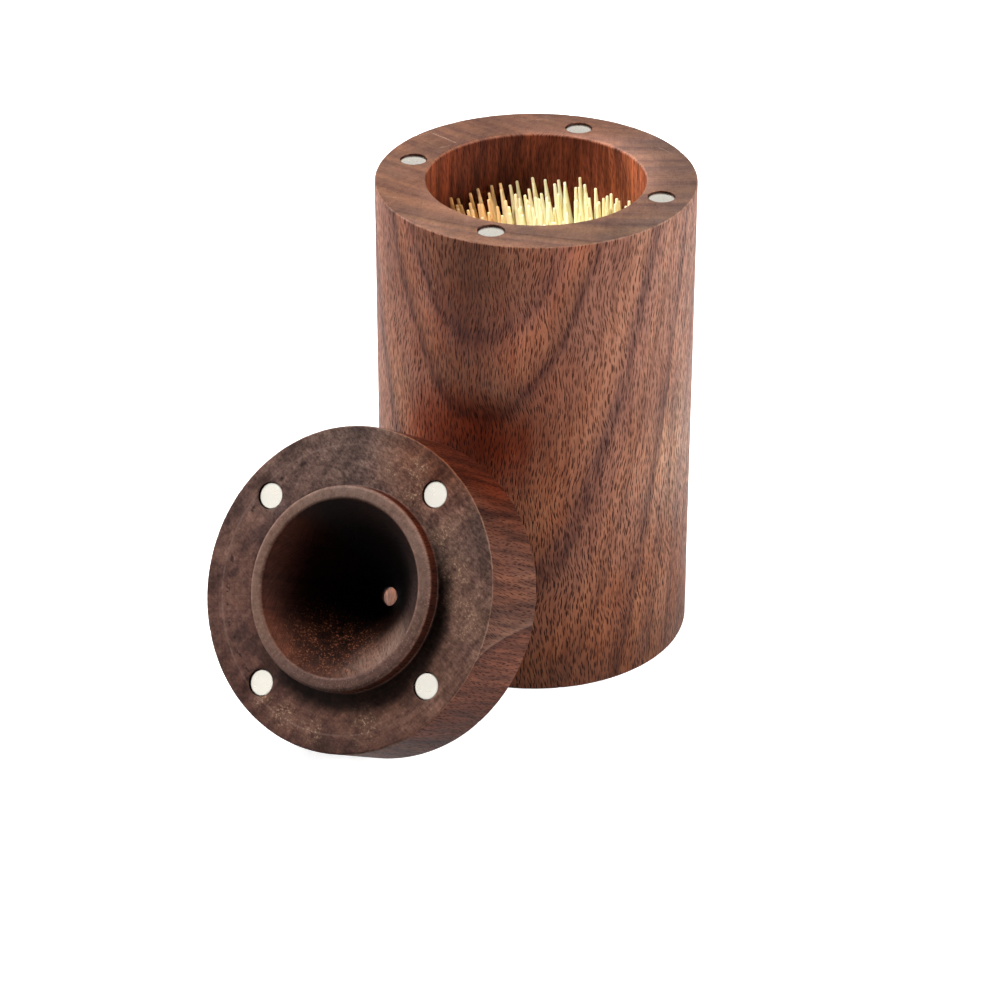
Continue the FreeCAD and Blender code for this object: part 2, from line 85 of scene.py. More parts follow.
# Toothpicks by CAD node: plan position of the lower end, plan position of the
# tip of a full-length one, and how much shorter than PICK_L each one is.
PICKS = {
    "toothpicks_core": [
        (8.73, -1.31, 3.33, 2.06, 2.29),
        (7.35, 0.08, 2.34, 4.35, 0.29),
        (5.58, -1.00, 1.00, 2.74, 0.38),
        (8.69, 4.46, -0.64, 4.54, 0.05),
        (7.56, 2.62, -2.73, 3.61, 1.00),
        (6.07, 1.26, -5.04, 3.04, 0.23),
        (6.07, -2.82, -4.39, -2.72, 0.97),
        (7.70, -4.19, -2.01, -2.83, 2.35),
        (5.59, -4.86, -3.10, -4.78, 0.49),
        (6.90, -6.23, 0.40, -4.89, 0.06),
        (9.07, -5.40, 1.60, -3.03, 0.27),
        (2.45, 0.20, 1.57, -2.12, 1.10),
        (9.91, -7.47, 3.68, -3.86, 0.87),
        (8.68, -2.87, 4.70, -2.36, 0.90),
        (6.76, -2.08, 3.07, -1.09, 1.03),
        (10.73, -1.59, 5.06, -0.25, 1.00),
    ],
    "toothpicks_mid_back": [
        (13.38, 5.69, 7.60, 7.91, 0.44),
        (12.37, 3.86, 5.46, 7.04, 0.32),
        (12.38, 7.55, 7.28, 9.96, 1.51),
        (10.32, 4.31, 3.37, 5.31, 0.70),
        (10.59, 7.33, 4.15, 12.02, 0.80),
        (11.98, 6.00, 2.45, 7.67, 0.32),
        (8.28, 11.68, 1.86, 12.03, 1.81),
        (9.89, 5.76, 0.46, 9.15, 0.24),
        (9.01, 7.54, -0.21, 11.36, 0.93),
        (8.02, 9.39, -2.29, 12.34, 0.84),
        (6.59, 7.82, -1.82, 9.80, 0.95),
        (7.80, 6.19, -1.54, 7.41, 0.94),
        (4.35, 7.64, -3.98, 10.79, 0.24),
        (5.58, 6.08, -3.45, 8.25, 2.08),
        (6.74, 4.42, -3.02, 5.93, 0.46),
        (3.64, 5.62, -5.88, 9.12, 0.64),
        (4.73, 4.01, -5.24, 6.62, 0.69),
    ],
    "toothpicks_mid_front": [
        (-0.74, -5.10, -5.96, -8.39, 0.38),
        (1.29, -6.27, -3.87, -6.72, 1.31),
        (-2.46, -6.53, -5.60, -10.88, 0.80),
        (3.29, -6.05, -1.66, -7.75, 0.71),
        (-0.85, -7.19, -1.95, -10.89, 0.94),
        (2.28, -10.38, -0.14, -12.09, 2.16),
        (1.58, -7.92, 0.78, -10.08, 1.24),
        (3.50, -8.67, 2.26, -11.68, 2.36),
        (4.57, -6.90, 2.50, -9.54, 0.55),
        (7.86, -8.03, 2.54, -6.00, 0.96),
        (5.34, -8.87, 5.21, -10.10, 0.40),
        (10.22, -9.40, 4.49, -6.19, 0.42),
    ],
    "toothpicks_mid_left": [
        (2.71, 3.62, -7.45, 7.36, 0.93),
        (4.19, 2.09, -6.58, 4.73, 1.52),
        (0.60, 3.54, -9.11, 5.27, 1.30),
        (-0.02, 1.73, -10.26, 2.95, 1.25),
        (0.34, -2.13, -11.67, 1.70, 0.07),
        (1.98, 2.58, -7.96, 0.92, 2.33),
        (2.50, -2.68, -10.67, -0.60, 0.53),
        (0.13, -3.73, -11.31, -2.62, 0.49),
        (1.93, -4.54, -9.05, -3.40, 0.11),
        (4.12, -2.22, -6.60, -2.58, 1.45),
        (-3.93, -7.59, -10.35, -4.31, 0.06),
        (-3.50, -9.62, -9.53, -6.20, 0.20),
        (4.02, -4.26, -6.99, -4.62, 0.93),
        (-2.91, -4.77, -7.22, -6.41, 1.77),
        (-4.91, -11.27, -8.85, -8.67, 0.67),
    ],
    "toothpicks_mid_right": [
        (14.29, -0.89, 8.09, 0.05, 1.54),
        (15.85, 0.10, 10.13, 2.21, 1.64),
        (9.53, 0.36, 8.19, 2.12, 0.74),
        (8.27, 2.65, 5.83, 2.28, 0.69),
        (14.50, 1.75, 11.55, 5.06, 0.01),
        (11.92, -0.38, 9.74, 4.71, 0.15),
        (10.41, 2.25, 7.56, 4.38, 0.20),
        (12.49, 1.56, 9.51, 6.96, 0.22),
        (11.09, -5.19, 7.11, -6.30, 0.89),
        (12.94, -5.97, 9.22, -6.88, 0.37),
        (10.86, -3.18, 5.95, -4.34, 0.68),
        (12.86, -4.01, 8.27, -4.58, 2.51),
        (14.66, -5.19, 10.65, -3.88, 0.71),
        (12.63, -2.06, 6.85, -2.31, 0.82),
        (14.47, -2.84, 9.27, -2.24, 0.87),
        (16.10, -3.84, 12.20, -2.20, 0.73),
        (16.34, -1.82, 10.12, -0.15, 0.32),
    ],
    "toothpicks_wall_back": [
        (9.27, 9.10, 5.45, 14.52, 0.05),
        (13.68, 11.29, 5.36, 17.63, 0.53),
        (12.17, 12.72, 4.15, 19.34, 0.83),
        (11.67, 10.82, 3.43, 16.88, 0.56),
        (10.73, 14.56, 1.58, 18.74, 0.60),
        (10.15, 13.00, 0.70, 15.01, 1.84),
        (8.69, 15.42, -0.61, 16.39, 0.49),
        (10.07, 16.87, -0.77, 19.25, 0.25),
        (8.13, 13.51, -1.50, 14.34, 0.67),
        (5.89, 12.44, -3.86, 19.77, 0.99),
        (5.61, 8.85, -3.57, 14.91, 2.53),
        (7.23, 10.47, -5.09, 17.54, 0.44),
    ],
    "toothpicks_wall_back_left": [
        (3.95, 13.32, -6.85, 16.10, 0.05),
        (4.89, 11.45, -6.73, 13.98, 0.25),
        (1.81, 12.71, -8.74, 18.04, 1.26),
        (4.25, 9.29, -9.03, 13.30, 0.25),
        (3.17, 10.78, -11.20, 15.64, 0.19),
        (2.97, 7.44, -9.14, 10.21, 0.50),
        (2.07, 9.28, -10.77, 11.73, 0.45),
        (0.07, 13.47, -12.64, 13.05, 0.49),
        (0.64, 7.23, -11.11, 9.77, 1.32),
        (-1.42, 11.14, -15.20, 13.22, 1.40),
        (2.07, 5.73, -10.30, 7.75, 0.32),
        (1.36, 11.80, -14.46, 10.08, 0.94),
        (0.08, 5.08, -12.51, 8.15, 0.18),
        (-3.31, 7.79, -16.17, 10.26, 0.06),
        (-1.78, 5.88, -15.03, 8.09, 0.42),
        (-1.26, 3.23, -12.08, 5.99, 0.98),
        (-4.62, 3.83, -17.46, 8.07, 1.39),
    ],
    "toothpicks_wall_back_right": [
        (17.04, 5.42, 14.89, 7.14, 0.92),
        (19.01, 4.44, 17.53, 8.58, 0.85),
        (18.62, 6.81, 15.19, 9.43, 0.78),
        (13.52, 3.47, 11.82, 7.69, 0.63),
        (14.78, 5.32, 13.41, 8.93, 0.10),
        (17.47, 8.64, 15.63, 11.65, 2.32),
        (14.26, 7.58, 9.99, 8.72, 0.39),
        (16.49, 6.76, 12.69, 11.57, 1.60),
        (16.42, 10.51, 14.21, 13.35, 1.67),
        (13.37, 9.43, 9.47, 10.71, 0.36),
        (15.54, 8.58, 11.25, 13.14, 0.28),
        (15.23, 10.97, 8.17, 13.31, 0.06),
        (15.06, 13.04, 9.20, 15.28, 0.44),
        (13.45, 14.24, 8.32, 17.73, 0.16),
        (11.35, 8.54, 7.46, 16.09, 1.21),
    ],
    "toothpicks_wall_front": [
        (-3.83, -15.71, -6.04, -18.46, 0.95),
        (-1.99, -8.82, -3.96, -12.18, 0.41),
        (-0.57, -10.71, -4.07, -14.72, 1.03),
        (-0.33, -12.54, -4.44, -17.70, 0.93),
        (0.36, -8.85, -2.32, -13.43, 0.26),
        (1.43, -11.56, -2.71, -16.28, 0.25),
        (-1.66, -15.16, -2.17, -19.11, 2.52),
        (0.36, -14.68, -0.67, -17.42, 0.52),
        (2.11, -13.67, 0.99, -16.02, 0.40),
        (3.15, -14.98, 1.87, -20.05, 2.14),
        (3.35, -12.17, 1.51, -13.37, 0.33),
        (4.44, -13.35, 2.41, -18.00, 0.39),
        (6.18, -12.09, 2.52, -15.50, 0.79),
        (4.54, -16.64, 5.12, -18.70, 0.44),
        (7.98, -11.12, 4.49, -14.71, 0.37),
        (7.17, -13.74, 5.60, -16.44, 1.80),
        (4.47, -10.59, 4.38, -12.47, 0.61),
        (6.38, -15.96, 7.42, -18.21, 0.80),
    ],
    "toothpicks_wall_front_left": [
        (-12.61, -5.52, -17.89, -7.49, 0.32),
        (-8.00, -2.94, -14.53, -6.31, 1.80),
        (-5.82, -4.99, -12.51, -5.76, 1.22),
        (-10.06, -9.03, -15.39, -8.01, 1.76),
        (-12.00, -7.39, -17.58, -9.83, 0.88),
        (-8.22, -5.05, -13.40, -8.22, 0.51),
        (-8.24, -10.03, -15.03, -10.84, 0.34),
        (-6.32, -6.90, -11.23, -8.27, 1.64),
        (-8.44, -7.16, -12.65, -10.18, 1.02),
        (-11.19, -10.23, -14.41, -14.07, 2.53),
        (-6.99, -8.67, -10.87, -11.21, 0.20),
        (-6.86, -10.72, -11.17, -13.26, 0.19),
        (-2.05, -11.16, -8.81, -11.72, 0.03),
        (-10.12, -11.69, -11.22, -15.45, 0.16),
        (-4.19, -12.52, -8.71, -13.97, 0.84),
        (-6.40, -12.36, -9.98, -16.73, 0.83),
        (-2.61, -14.93, -6.13, -11.76, 0.06),
        (-5.94, -15.25, -7.10, -16.24, 0.93),
    ],
    "toothpicks_wall_front_right": [
        (7.58, -9.11, 6.19, -12.53, 1.02),
        (8.94, -12.98, 7.73, -14.59, 1.36),
        (8.71, -14.90, 9.22, -17.13, 0.58),
        (10.85, -13.88, 9.84, -14.98, 0.97),
        (9.61, -11.38, 8.25, -11.01, 0.57),
        (12.73, -14.62, 11.95, -15.36, 0.28),
        (11.23, -9.18, 10.61, -12.18, 2.59),
        (11.04, -11.84, 12.31, -13.48, 0.08),
        (11.08, -7.02, 9.82, -10.29, 2.07),
        (13.68, -13.09, 14.21, -13.08, 0.65),
        (14.57, -9.72, 13.36, -11.00, 0.30),
        (13.00, -8.40, 11.95, -9.49, 0.07),
        (15.36, -11.91, 15.63, -11.57, 0.18),
        (16.02, -8.35, 13.79, -8.40, 0.90),
        (14.64, -7.02, 11.69, -6.88, 0.24),
        (16.42, -10.47, 17.29, -8.81, 1.00),
        (18.01, -8.41, 15.97, -6.77, 2.28),
    ],
    "toothpicks_wall_left": [
        (-3.13, 2.80, -14.78, 6.10, 0.58),
        (-1.94, 1.33, -12.80, 3.98, 0.09),
        (-4.63, 1.87, -17.67, 4.22, 0.52),
        (-3.46, 0.18, -15.51, 3.26, 0.74),
        (-1.36, -0.84, -13.80, 2.06, 0.21),
        (-6.51, 1.02, -19.31, 2.74, 1.48),
        (-5.44, -0.53, -16.77, 1.25, 0.07),
        (-4.47, -2.95, -19.37, -0.12, 0.56),
        (-3.39, -1.49, -14.78, -0.52, 0.29),
        (-2.73, -3.97, -17.52, -1.58, 0.15),
        (-1.32, -2.26, -14.26, -3.16, 2.54),
        (-7.77, -0.98, -19.61, -4.61, 1.71),
        (-9.81, -7.14, -16.69, -4.77, 0.35),
    ],
    "toothpicks_wall_right": [
        (17.17, -2.97, 17.53, 0.45, 0.38),
        (19.47, -0.04, 19.33, 0.88, 2.19),
        (18.57, 1.66, 15.11, 0.83, 1.75),
        (19.40, 3.31, 18.16, 2.34, 0.91),
        (16.61, 2.07, 13.28, 2.48, 1.20),
        (17.34, 3.43, 16.89, 5.42, 0.66),
        (15.42, 3.81, 14.43, 5.10, 2.54),
        (16.78, -6.76, 12.89, -4.58, 0.19),
        (18.83, -6.62, 16.35, -4.41, 0.55),
        (19.08, -3.90, 18.93, -3.95, 1.89),
        (17.53, -5.34, 15.36, -1.26, 0.24),
        (19.34, -1.97, 19.37, -1.58, 0.58),
        (17.63, -0.09, 12.83, -0.46, 1.30),
    ],
}

rng = np.random.default_rng(7)


# ---------------------------------------------------------------- geometry

def arc(cx, cz, r, a0, a1, n):
    """n + 1 points of an arc in the (radius, height) plane, angles in degrees."""
    return [(cx + r * math.cos(math.radians(a0 + (a1 - a0) * i / n)),
             cz + r * math.sin(math.radians(a0 + (a1 - a0) * i / n)))
            for i in range(n + 1)]


def line(p, q, n):
    """Points strictly between p and q."""
    return [(p[0] + (q[0] - p[0]) * i / n, p[1] + (q[1] - p[1]) * i / n)
            for i in range(1, n)]


def revolve(profile, seg):
    """Vertices and faces of a profile turned about Z. Points on the axis become
    one vertex; a profile that doesn't reach the axis is closed on itself."""
    verts, faces, rings = [], [], []
    for r, z in profile:
        start = len(verts)
        if r < 1e-6:
            verts.append((0.0, 0.0, z))
            rings.append([start])
        else:
            for k in range(seg):
                a = 2 * math.pi * k / seg
                verts.append((r * math.cos(a), r * math.sin(a), z))
            rings.append(list(range(start, start + seg)))
    pairs = list(zip(rings[:-1], rings[1:]))
    if len(rings[0]) > 1:
        pairs.append((rings[-1], rings[0]))
    for a, b in pairs:
        if len(a) == 1:
            faces += [(a[0], b[(k + 1) % seg], b[k]) for k in range(seg)]
        elif len(b) == 1:
            faces += [(a[k], a[(k + 1) % seg], b[0]) for k in range(seg)]
        else:
            faces += [(a[k], a[(k + 1) % seg], b[(k + 1) % seg], b[k])
                      for k in range(seg)]
    return np.array(verts, float), faces


def new_object(name, verts, faces, sharp=32.0):
    """Mesh object from vertices in millimetres, outward faces, smooth shading."""
    mesh = bpy.data.meshes.new(name)
    mesh.from_pydata([tuple(v) for v in np.asarray(verts) * MM], [], faces)
    mesh.update()
    bm = bmesh.new()
    bm.from_mesh(mesh)
    bmesh.ops.recalc_face_normals(bm, faces=bm.faces)
    bm.to_mesh(mesh)
    bm.free()
    mesh.shade_smooth()
    mesh.set_sharp_from_angle(angle=math.radians(sharp))
    obj = bpy.data.objects.new(name, mesh)
    bpy.context.scene.collection.objects.link(obj)
    return obj


def cut(obj, cutter, sharp=32.0):
    """obj minus cutter, with the result kept as obj's mesh."""
    mod = obj.modifiers.new("cut", "BOOLEAN")
    mod.operation = "DIFFERENCE"
    mod.solver = "EXACT"
    mod.object = cutter
    bpy.context.view_layer.update()
    done = bpy.data.meshes.new_from_object(
        obj.evaluated_get(bpy.context.evaluated_depsgraph_get()))
    obj.modifiers.clear()
    # points the cut left on top of each other become one
    bm = bmesh.new()
    bm.from_mesh(done)
    bmesh.ops.remove_doubles(bm, verts=bm.verts, dist=3e-7)
    bmesh.ops.dissolve_degenerate(bm, edges=bm.edges, dist=3e-7)
    bm.to_mesh(done)
    bm.free()
    obj.data = done
    done.name = obj.name
    done.shade_smooth()
    done.set_sharp_from_angle(angle=math.radians(sharp))
    bpy.data.objects.remove(cutter)
    return obj


def smooth_noise(x, seed, octaves=4):
    """Smooth periodic noise of an angle, about -1 to 1."""
    g = np.random.default_rng(seed)
    total = np.zeros_like(x)
    for o in range(octaves):
        for _ in range(5):
            f = g.integers(3, 9) * 2 ** (o + 1)
            total += math.pow(0.62, o) * g.normal() * np.sin(f * x + g.uniform(0, 6.28))
    return total / (np.abs(total).max() + 1e-9)


def chip_field(angle, chips):
    """Depth of small chips along an edge: (angle in degrees, half width in
    degrees, depth)."""
    depth = np.zeros_like(angle)
    for at, half, deep in chips:
        d = (np.degrees(angle) - at + 180.0) % 360.0 - 180.0
        depth = np.maximum(depth, deep * np.clip(1 - (d / half) ** 2, 0, 1) ** 0.6)
    return depth


def wear_edge(verts, near, towards, amount, chips, seed):
    """Pulls the vertices near a turned edge (radius, height) in towards a point
    of the profile, unevenly, as handling and sanding leave it."""
    r = np.hypot(verts[:, 0], verts[:, 1])
    ang = np.arctan2(verts[:, 1], verts[:, 0])
    d = np.hypot(r - near[0], verts[:, 2] - near[1])
    w = np.clip(1 - d / near[2], 0, 1) ** 1.5
    pull = amount * (0.5 + 0.5 * smooth_noise(ang, seed)) + chip_field(ang, chips)
    tr, tz = towards[0] - near[0], towards[1] - near[1]
    n = math.hypot(tr, tz)
    dr, dz = tr / n * pull * w, tz / n * pull * w
    k = np.where(r > 1e-6, (r + dr) / np.maximum(r, 1e-6), 1.0)
    verts[:, 0] *= k
    verts[:, 1] *= k
    verts[:, 2] += dz
    return verts


def pocket_cutter(name, start_deg, depth, top, sink):
    """Four drilled pockets with slightly broken mouths, for discs that stand a
    little below the face they are let into."""
    verts, faces = [], []
    profile = [(0.0, top - depth), (POCKET_R, top - depth), (POCKET_R, top - 0.07),
               (POCKET_R + 0.02, top - 0.03), (POCKET_R + 0.07, top + 0.0),
               (POCKET_R + 0.4, top + 0.33), (0.0, top + 0.33)]
    for k in range(4):
        a = math.radians(start_deg + 90.0 * k)
        v, f = revolve(profile, 72)
        v[:, 0] += MAGNET_CIRCLE_R * math.cos(a)
        v[:, 1] += MAGNET_CIRCLE_R * math.sin(a)
        base = len(verts)
        verts += [tuple(p) for p in v]
        faces += [tuple(base + i for i in face) for face in f]
    return new_object(name, verts, faces)


def casing_mesh():
    r, h, b = BODY_R, CASING_H, BORE_R
    p = [(0.0, 0.0), (10.0, 0.0), (20.0, 0.0), (27.0, 0.0), (r - FOOT_EDGE - 0.08, 0.0)]
    p += arc(r - FOOT_EDGE, FOOT_EDGE, FOOT_EDGE, -90, 0, 8)
    p += [(r, FOOT_EDGE + 0.1)]
    p += line((r, FOOT_EDGE + 0.1), (r, h - RIM_EDGE - 0.08), 14)
    p += [(r, h - RIM_EDGE - 0.08)]
    p += arc(r - RIM_EDGE, h - RIM_EDGE, RIM_EDGE, 0, 90, 8)
    p += [(r - RIM_EDGE - 0.1, h), (b + BORE_EDGE + 0.1, h)]
    p += arc(b + BORE_EDGE, h - BORE_EDGE, BORE_EDGE, 90, 180, 8)
    p += [(b, h - BORE_EDGE - 0.1)]
    p += line((b, h - BORE_EDGE - 0.1), (b, FLOOR_T + BORE_CORNER + 0.1), 10)
    p += [(b, FLOOR_T + BORE_CORNER + 0.1)]
    p += arc(b - BORE_CORNER, FLOOR_T + BORE_CORNER, BORE_CORNER, 0, -90, 5)
    p += [(b - BORE_CORNER - 0.1, FLOOR_T), (12.0, FLOOR_T), (0.0, FLOOR_T)]
    v, f = revolve(p, 720)
    # handling marks along the two edges of the rim
    v = wear_edge(v, (r, h, 0.7), (r - 1.0, h - 1.0), 0.05,
                  [(-158.0, 1.2, 0.13), (-149.0, 0.8, 0.17), (-146.5, 0.5, 0.1),
                   (-137.0, 0.9, 0.12), (-121.0, 0.6, 0.1), (-112.5, 0.8, 0.16),
                   (-104.0, 0.5, 0.08), (-71.0, 0.6, 0.08), (-33.0, 0.7, 0.1),
                   (24.0, 0.9, 0.1), (77.0, 0.8, 0.12), (140.0, 0.7, 0.1)], 3)
    v = wear_edge(v, (b, h, 0.8), (b + 1.0, h - 1.0), 0.05,
                  [(146.0, 1.0, 0.12), (150.5, 0.7, 0.14), (118.0, 0.7, 0.1),
                   (38.0, 0.8, 0.1), (-62.0, 0.9, 0.1)], 5)
    v = wear_edge(v, (r, 0.0, 0.9), (r - 1.0, 1.0), 0.05,
                  [(-80.0, 1.0, 0.12), (-20.0, 0.8, 0.1), (95.0, 1.1, 0.13)], 9)
    obj = new_object("casing_wood", v, f)
    cutter = pocket_cutter("pockets", CASING_MAGNET_AZ, MAGNET_T + MAGNET_RECESS, h, 0)
    return cut(obj, cutter)


def lid_mesh():
    """Lid in its own frame: seating face at z = 0, spigot towards +Z."""
    r, t = BODY_R, LID_T
    p = [(HOLE_R, -t + HOLE_L), (HOLE_R, -t + HOLE_L * 0.5), (HOLE_R, -t + 0.14)]
    p += arc(HOLE_R + 0.14, -t + 0.14, 0.14, 180, 270, 4)[1:]
    p += [(HOLE_R + 0.25, -t), (10.0, -t), (20.0, -t), (r - LID_OUTER_EDGE - 0.08, -t)]
    p += arc(r - LID_OUTER_EDGE, -t + LID_OUTER_EDGE, LID_OUTER_EDGE, -90, 0, 8)
    p += [(r, -t + LID_OUTER_EDGE + 0.1)]
    p += line((r, -t + LID_OUTER_EDGE + 0.1), (r, -LID_INNER_EDGE - 0.08), 5)
    p += [(r, -LID_INNER_EDGE - 0.08)]
    p += arc(r - LID_INNER_EDGE, -LID_INNER_EDGE, LID_INNER_EDGE, 0, 90, 8)
    p += [(r - LID_INNER_EDGE - 0.1, 0.0), (SPIGOT_R + SPIGOT_ROOT + 0.1, 0.0)]
    p += arc(SPIGOT_R + SPIGOT_ROOT, SPIGOT_ROOT, SPIGOT_ROOT, -90, -180, 6)
    p += [(SPIGOT_R, SPIGOT_ROOT + 0.1), (SPIGOT_R, SPIGOT_H - SPIGOT_OUT_EDGE - 0.1)]
    p += arc(SPIGOT_R - SPIGOT_OUT_EDGE, SPIGOT_H - SPIGOT_OUT_EDGE, SPIGOT_OUT_EDGE, 0, 90, 10)
    # the lip turns over into the funnel
    c = (16.90, SPIGOT_H - 0.88)
    p += [(x, z) for x, z in arc(c[0], c[1], 0.88, 90, 172, 9)]
    start = (16.02, SPIGOT_H - 0.6)
    p = [q for q in p if not (q[0] < 16.10 and 1.9 < q[1] < 2.5)]
    neck = (HOLE_R, -t + HOLE_L)
    p += [(start[0], start[1])]
    p += line(start, neck, 26)
    v, f = revolve(p, 640)
    v = wear_edge(v, (r, 0.0, 0.6), (r - 1.0, -1.0), 0.05,
                  [(14.0, 0.9, 0.1), (61.0, 0.7, 0.12), (97.0, 0.6, 0.08),
                   (151.0, 0.9, 0.14), (-156.0, 0.7, 0.1), (-118.0, 0.8, 0.12),
                   (-66.0, 0.6, 0.1), (-31.0, 0.5, 0.08)], 11)
    v = wear_edge(v, (r, -t, 0.7), (r - 1.0, -t + 1.0), 0.06,
                  [(-20.0, 1.0, 0.14), (-95.0, 0.8, 0.12), (160.0, 0.9, 0.12)], 13)
    obj = new_object("lid_wood", v, f)
    cutter = pocket_cutter("pockets", 0.0, MAGNET_T + MAGNET_RECESS, 0.0, 0)
    return cut(obj, cutter)


def magnet_mesh(name, tilt_seed):
    """Plated disc, underside at z = 0, with a faint dish and a rounded edge."""
    e = MAGNET_EDGE
    p = [(0.0, 0.0), (1.2, 0.0), (MAGNET_R - e - 0.05, 0.0)]
    p += arc(MAGNET_R - e, e, e, -90, 0, 6)
    p += [(MAGNET_R, e + 0.1), (MAGNET_R, MAGNET_T - e - 0.1)]
    p += arc(MAGNET_R - e, MAGNET_T - e, e, 0, 90, 6)
    p += [(2.0, MAGNET_T - 0.004), (1.5, MAGNET_T - 0.010), (0.8, MAGNET_T - 0.014),
          (0.0, MAGNET_T - 0.015)]
    v, f = revolve(p, 96)
    g = np.random.default_rng(tilt_seed)
    a = np.arctan2(v[:, 1], v[:, 0])
    rr = np.hypot(v[:, 0], v[:, 1])
    top = v[:, 2] > MAGNET_T - 0.05
    v[top, 2] -= 0.006 * (0.5 + 0.5 * np.sin(2 * a[top] + g.uniform(0, 6))) * rr[top] / MAGNET_R
    return new_object(name, v, f, 40.0)


def pick_mesh(name, table, seed):
    """The loose toothpicks of one group as one mesh, with each one's own grain
    coordinates, tone and distance from its nearer end as attributes."""
    g = np.random.default_rng(seed)
    seg = 16
    all_v, all_f, grain, tone, end = [], [], [], [], []
    base = 0
    for bx, by, tx, ty, shorter in table:
        flat2 = (tx - bx) ** 2 + (ty - by) ** 2
        up = math.sqrt(PICK_L ** 2 - flat2)
        lift = PICK_TIP_R * math.sqrt(flat2) / PICK_L
        length = PICK_L - shorter
        d = Vector((tx - bx, ty - by, up)).normalized()
        turn = np.array(Vector((0, 0, 1)).rotation_difference(d).to_matrix())
        foot = np.array([bx, by, FLOOR_T + PICK_LIFT + lift])
        v, f = one_pick(length, seg, g)
        n = len(v)
        shift = np.array([g.uniform(-40, 40), g.uniform(-40, 40), g.uniform(0, 400)])
        grain.append(v + shift)
        tone.append(np.full(n, g.uniform(0, 1)))
        end.append(np.minimum(v[:, 2], length - v[:, 2]))
        all_v.append(v @ turn.T + foot)
        all_f += [tuple(base + i for i in face) for face in f]
        base += n
    obj = new_object(name, np.concatenate(all_v), all_f, 50.0)
    for label, kind, data in (("grain", "FLOAT_VECTOR", np.concatenate(grain)),
                              ("tone", "FLOAT", np.concatenate(tone)),
                              ("end", "FLOAT", np.concatenate(end))):
        at = obj.data.attributes.new(label, kind, "POINT")
        key = "vector" if kind == "FLOAT_VECTOR" else "value"
        at.data.foreach_set(key, data.astype(np.float32).ravel())
    return obj


def one_pick(length, seg, g):
    # the points are ground slightly hollow, so they are a little thinner than a cone
    tip, taper, hollow = PICK_TIP_R - 0.03, PICK_TAPER, 1.15
    blunt = g.uniform(0.72, 0.95)
    p = [(0.0, 0.0), (tip * 0.72, 0.0), (tip * 0.94, 0.06), (tip + 0.012, 0.22)]
    p += [(tip + (PICK_R - tip) * s ** hollow, taper * s) for s in (0.12, 0.3, 0.5, 0.7, 0.85, 0.95)]
    p += [(PICK_R * 0.994, taper + 0.6)]
    p += [(PICK_R * 0.997, z) for z in np.linspace(taper + 4, length - taper - 4, 8)]
    p += [(PICK_R * 0.994, length - taper - 0.6)]
    p += [(tip + (PICK_R - tip) * s ** hollow, length - taper * s)
          for s in (0.95, 0.85, 0.7, 0.5, 0.3, 0.12)]
    p += [(tip + 0.012, length - 0.22), (tip * 0.94, length - 0.07),
          (tip * blunt, length - 0.012), (0.0, length - 0.03)]
    v, f = revolve(p, seg)
    a = np.arctan2(v[:, 1], v[:, 0])
    # not quite round, and shaved a little unevenly along its length
    k = 1.0 - 0.022 * (1 + np.sin(2 * a + g.uniform(0, 6.28) + v[:, 2] * 0.02))
    k -= 0.018 * (1 + np.sin(3 * a + g.uniform(0, 6.28) + v[:, 2] * g.uniform(0.02, 0.09)))
    k -= 0.012 * (1 + np.sin(v[:, 2] * g.uniform(0.35, 0.8) + g.uniform(0, 6.28)))
    v[:, 0] *= k
    v[:, 1] *= k
    # the cut across the tip is slightly slanted and torn
    top = v[:, 2] > length - 0.1
    slant = g.uniform(0, 6.28)
    v[top, 2] -= 0.05 * (0.5 + 0.5 * np.cos(a[top] - slant)) * (np.hypot(v[top, 0], v[top, 1]) > 0.05)
    return v, f


# --------------------------------------------------------------- materials

def lin(r, g, b):
    """sRGB 0 to 255 as a linear colour."""
    def f(c):
        c /= 255.0
        return c / 12.92 if c <= 0.04045 else ((c + 0.055) / 1.055) ** 2.4
    return (f(r), f(g), f(b), 1.0)


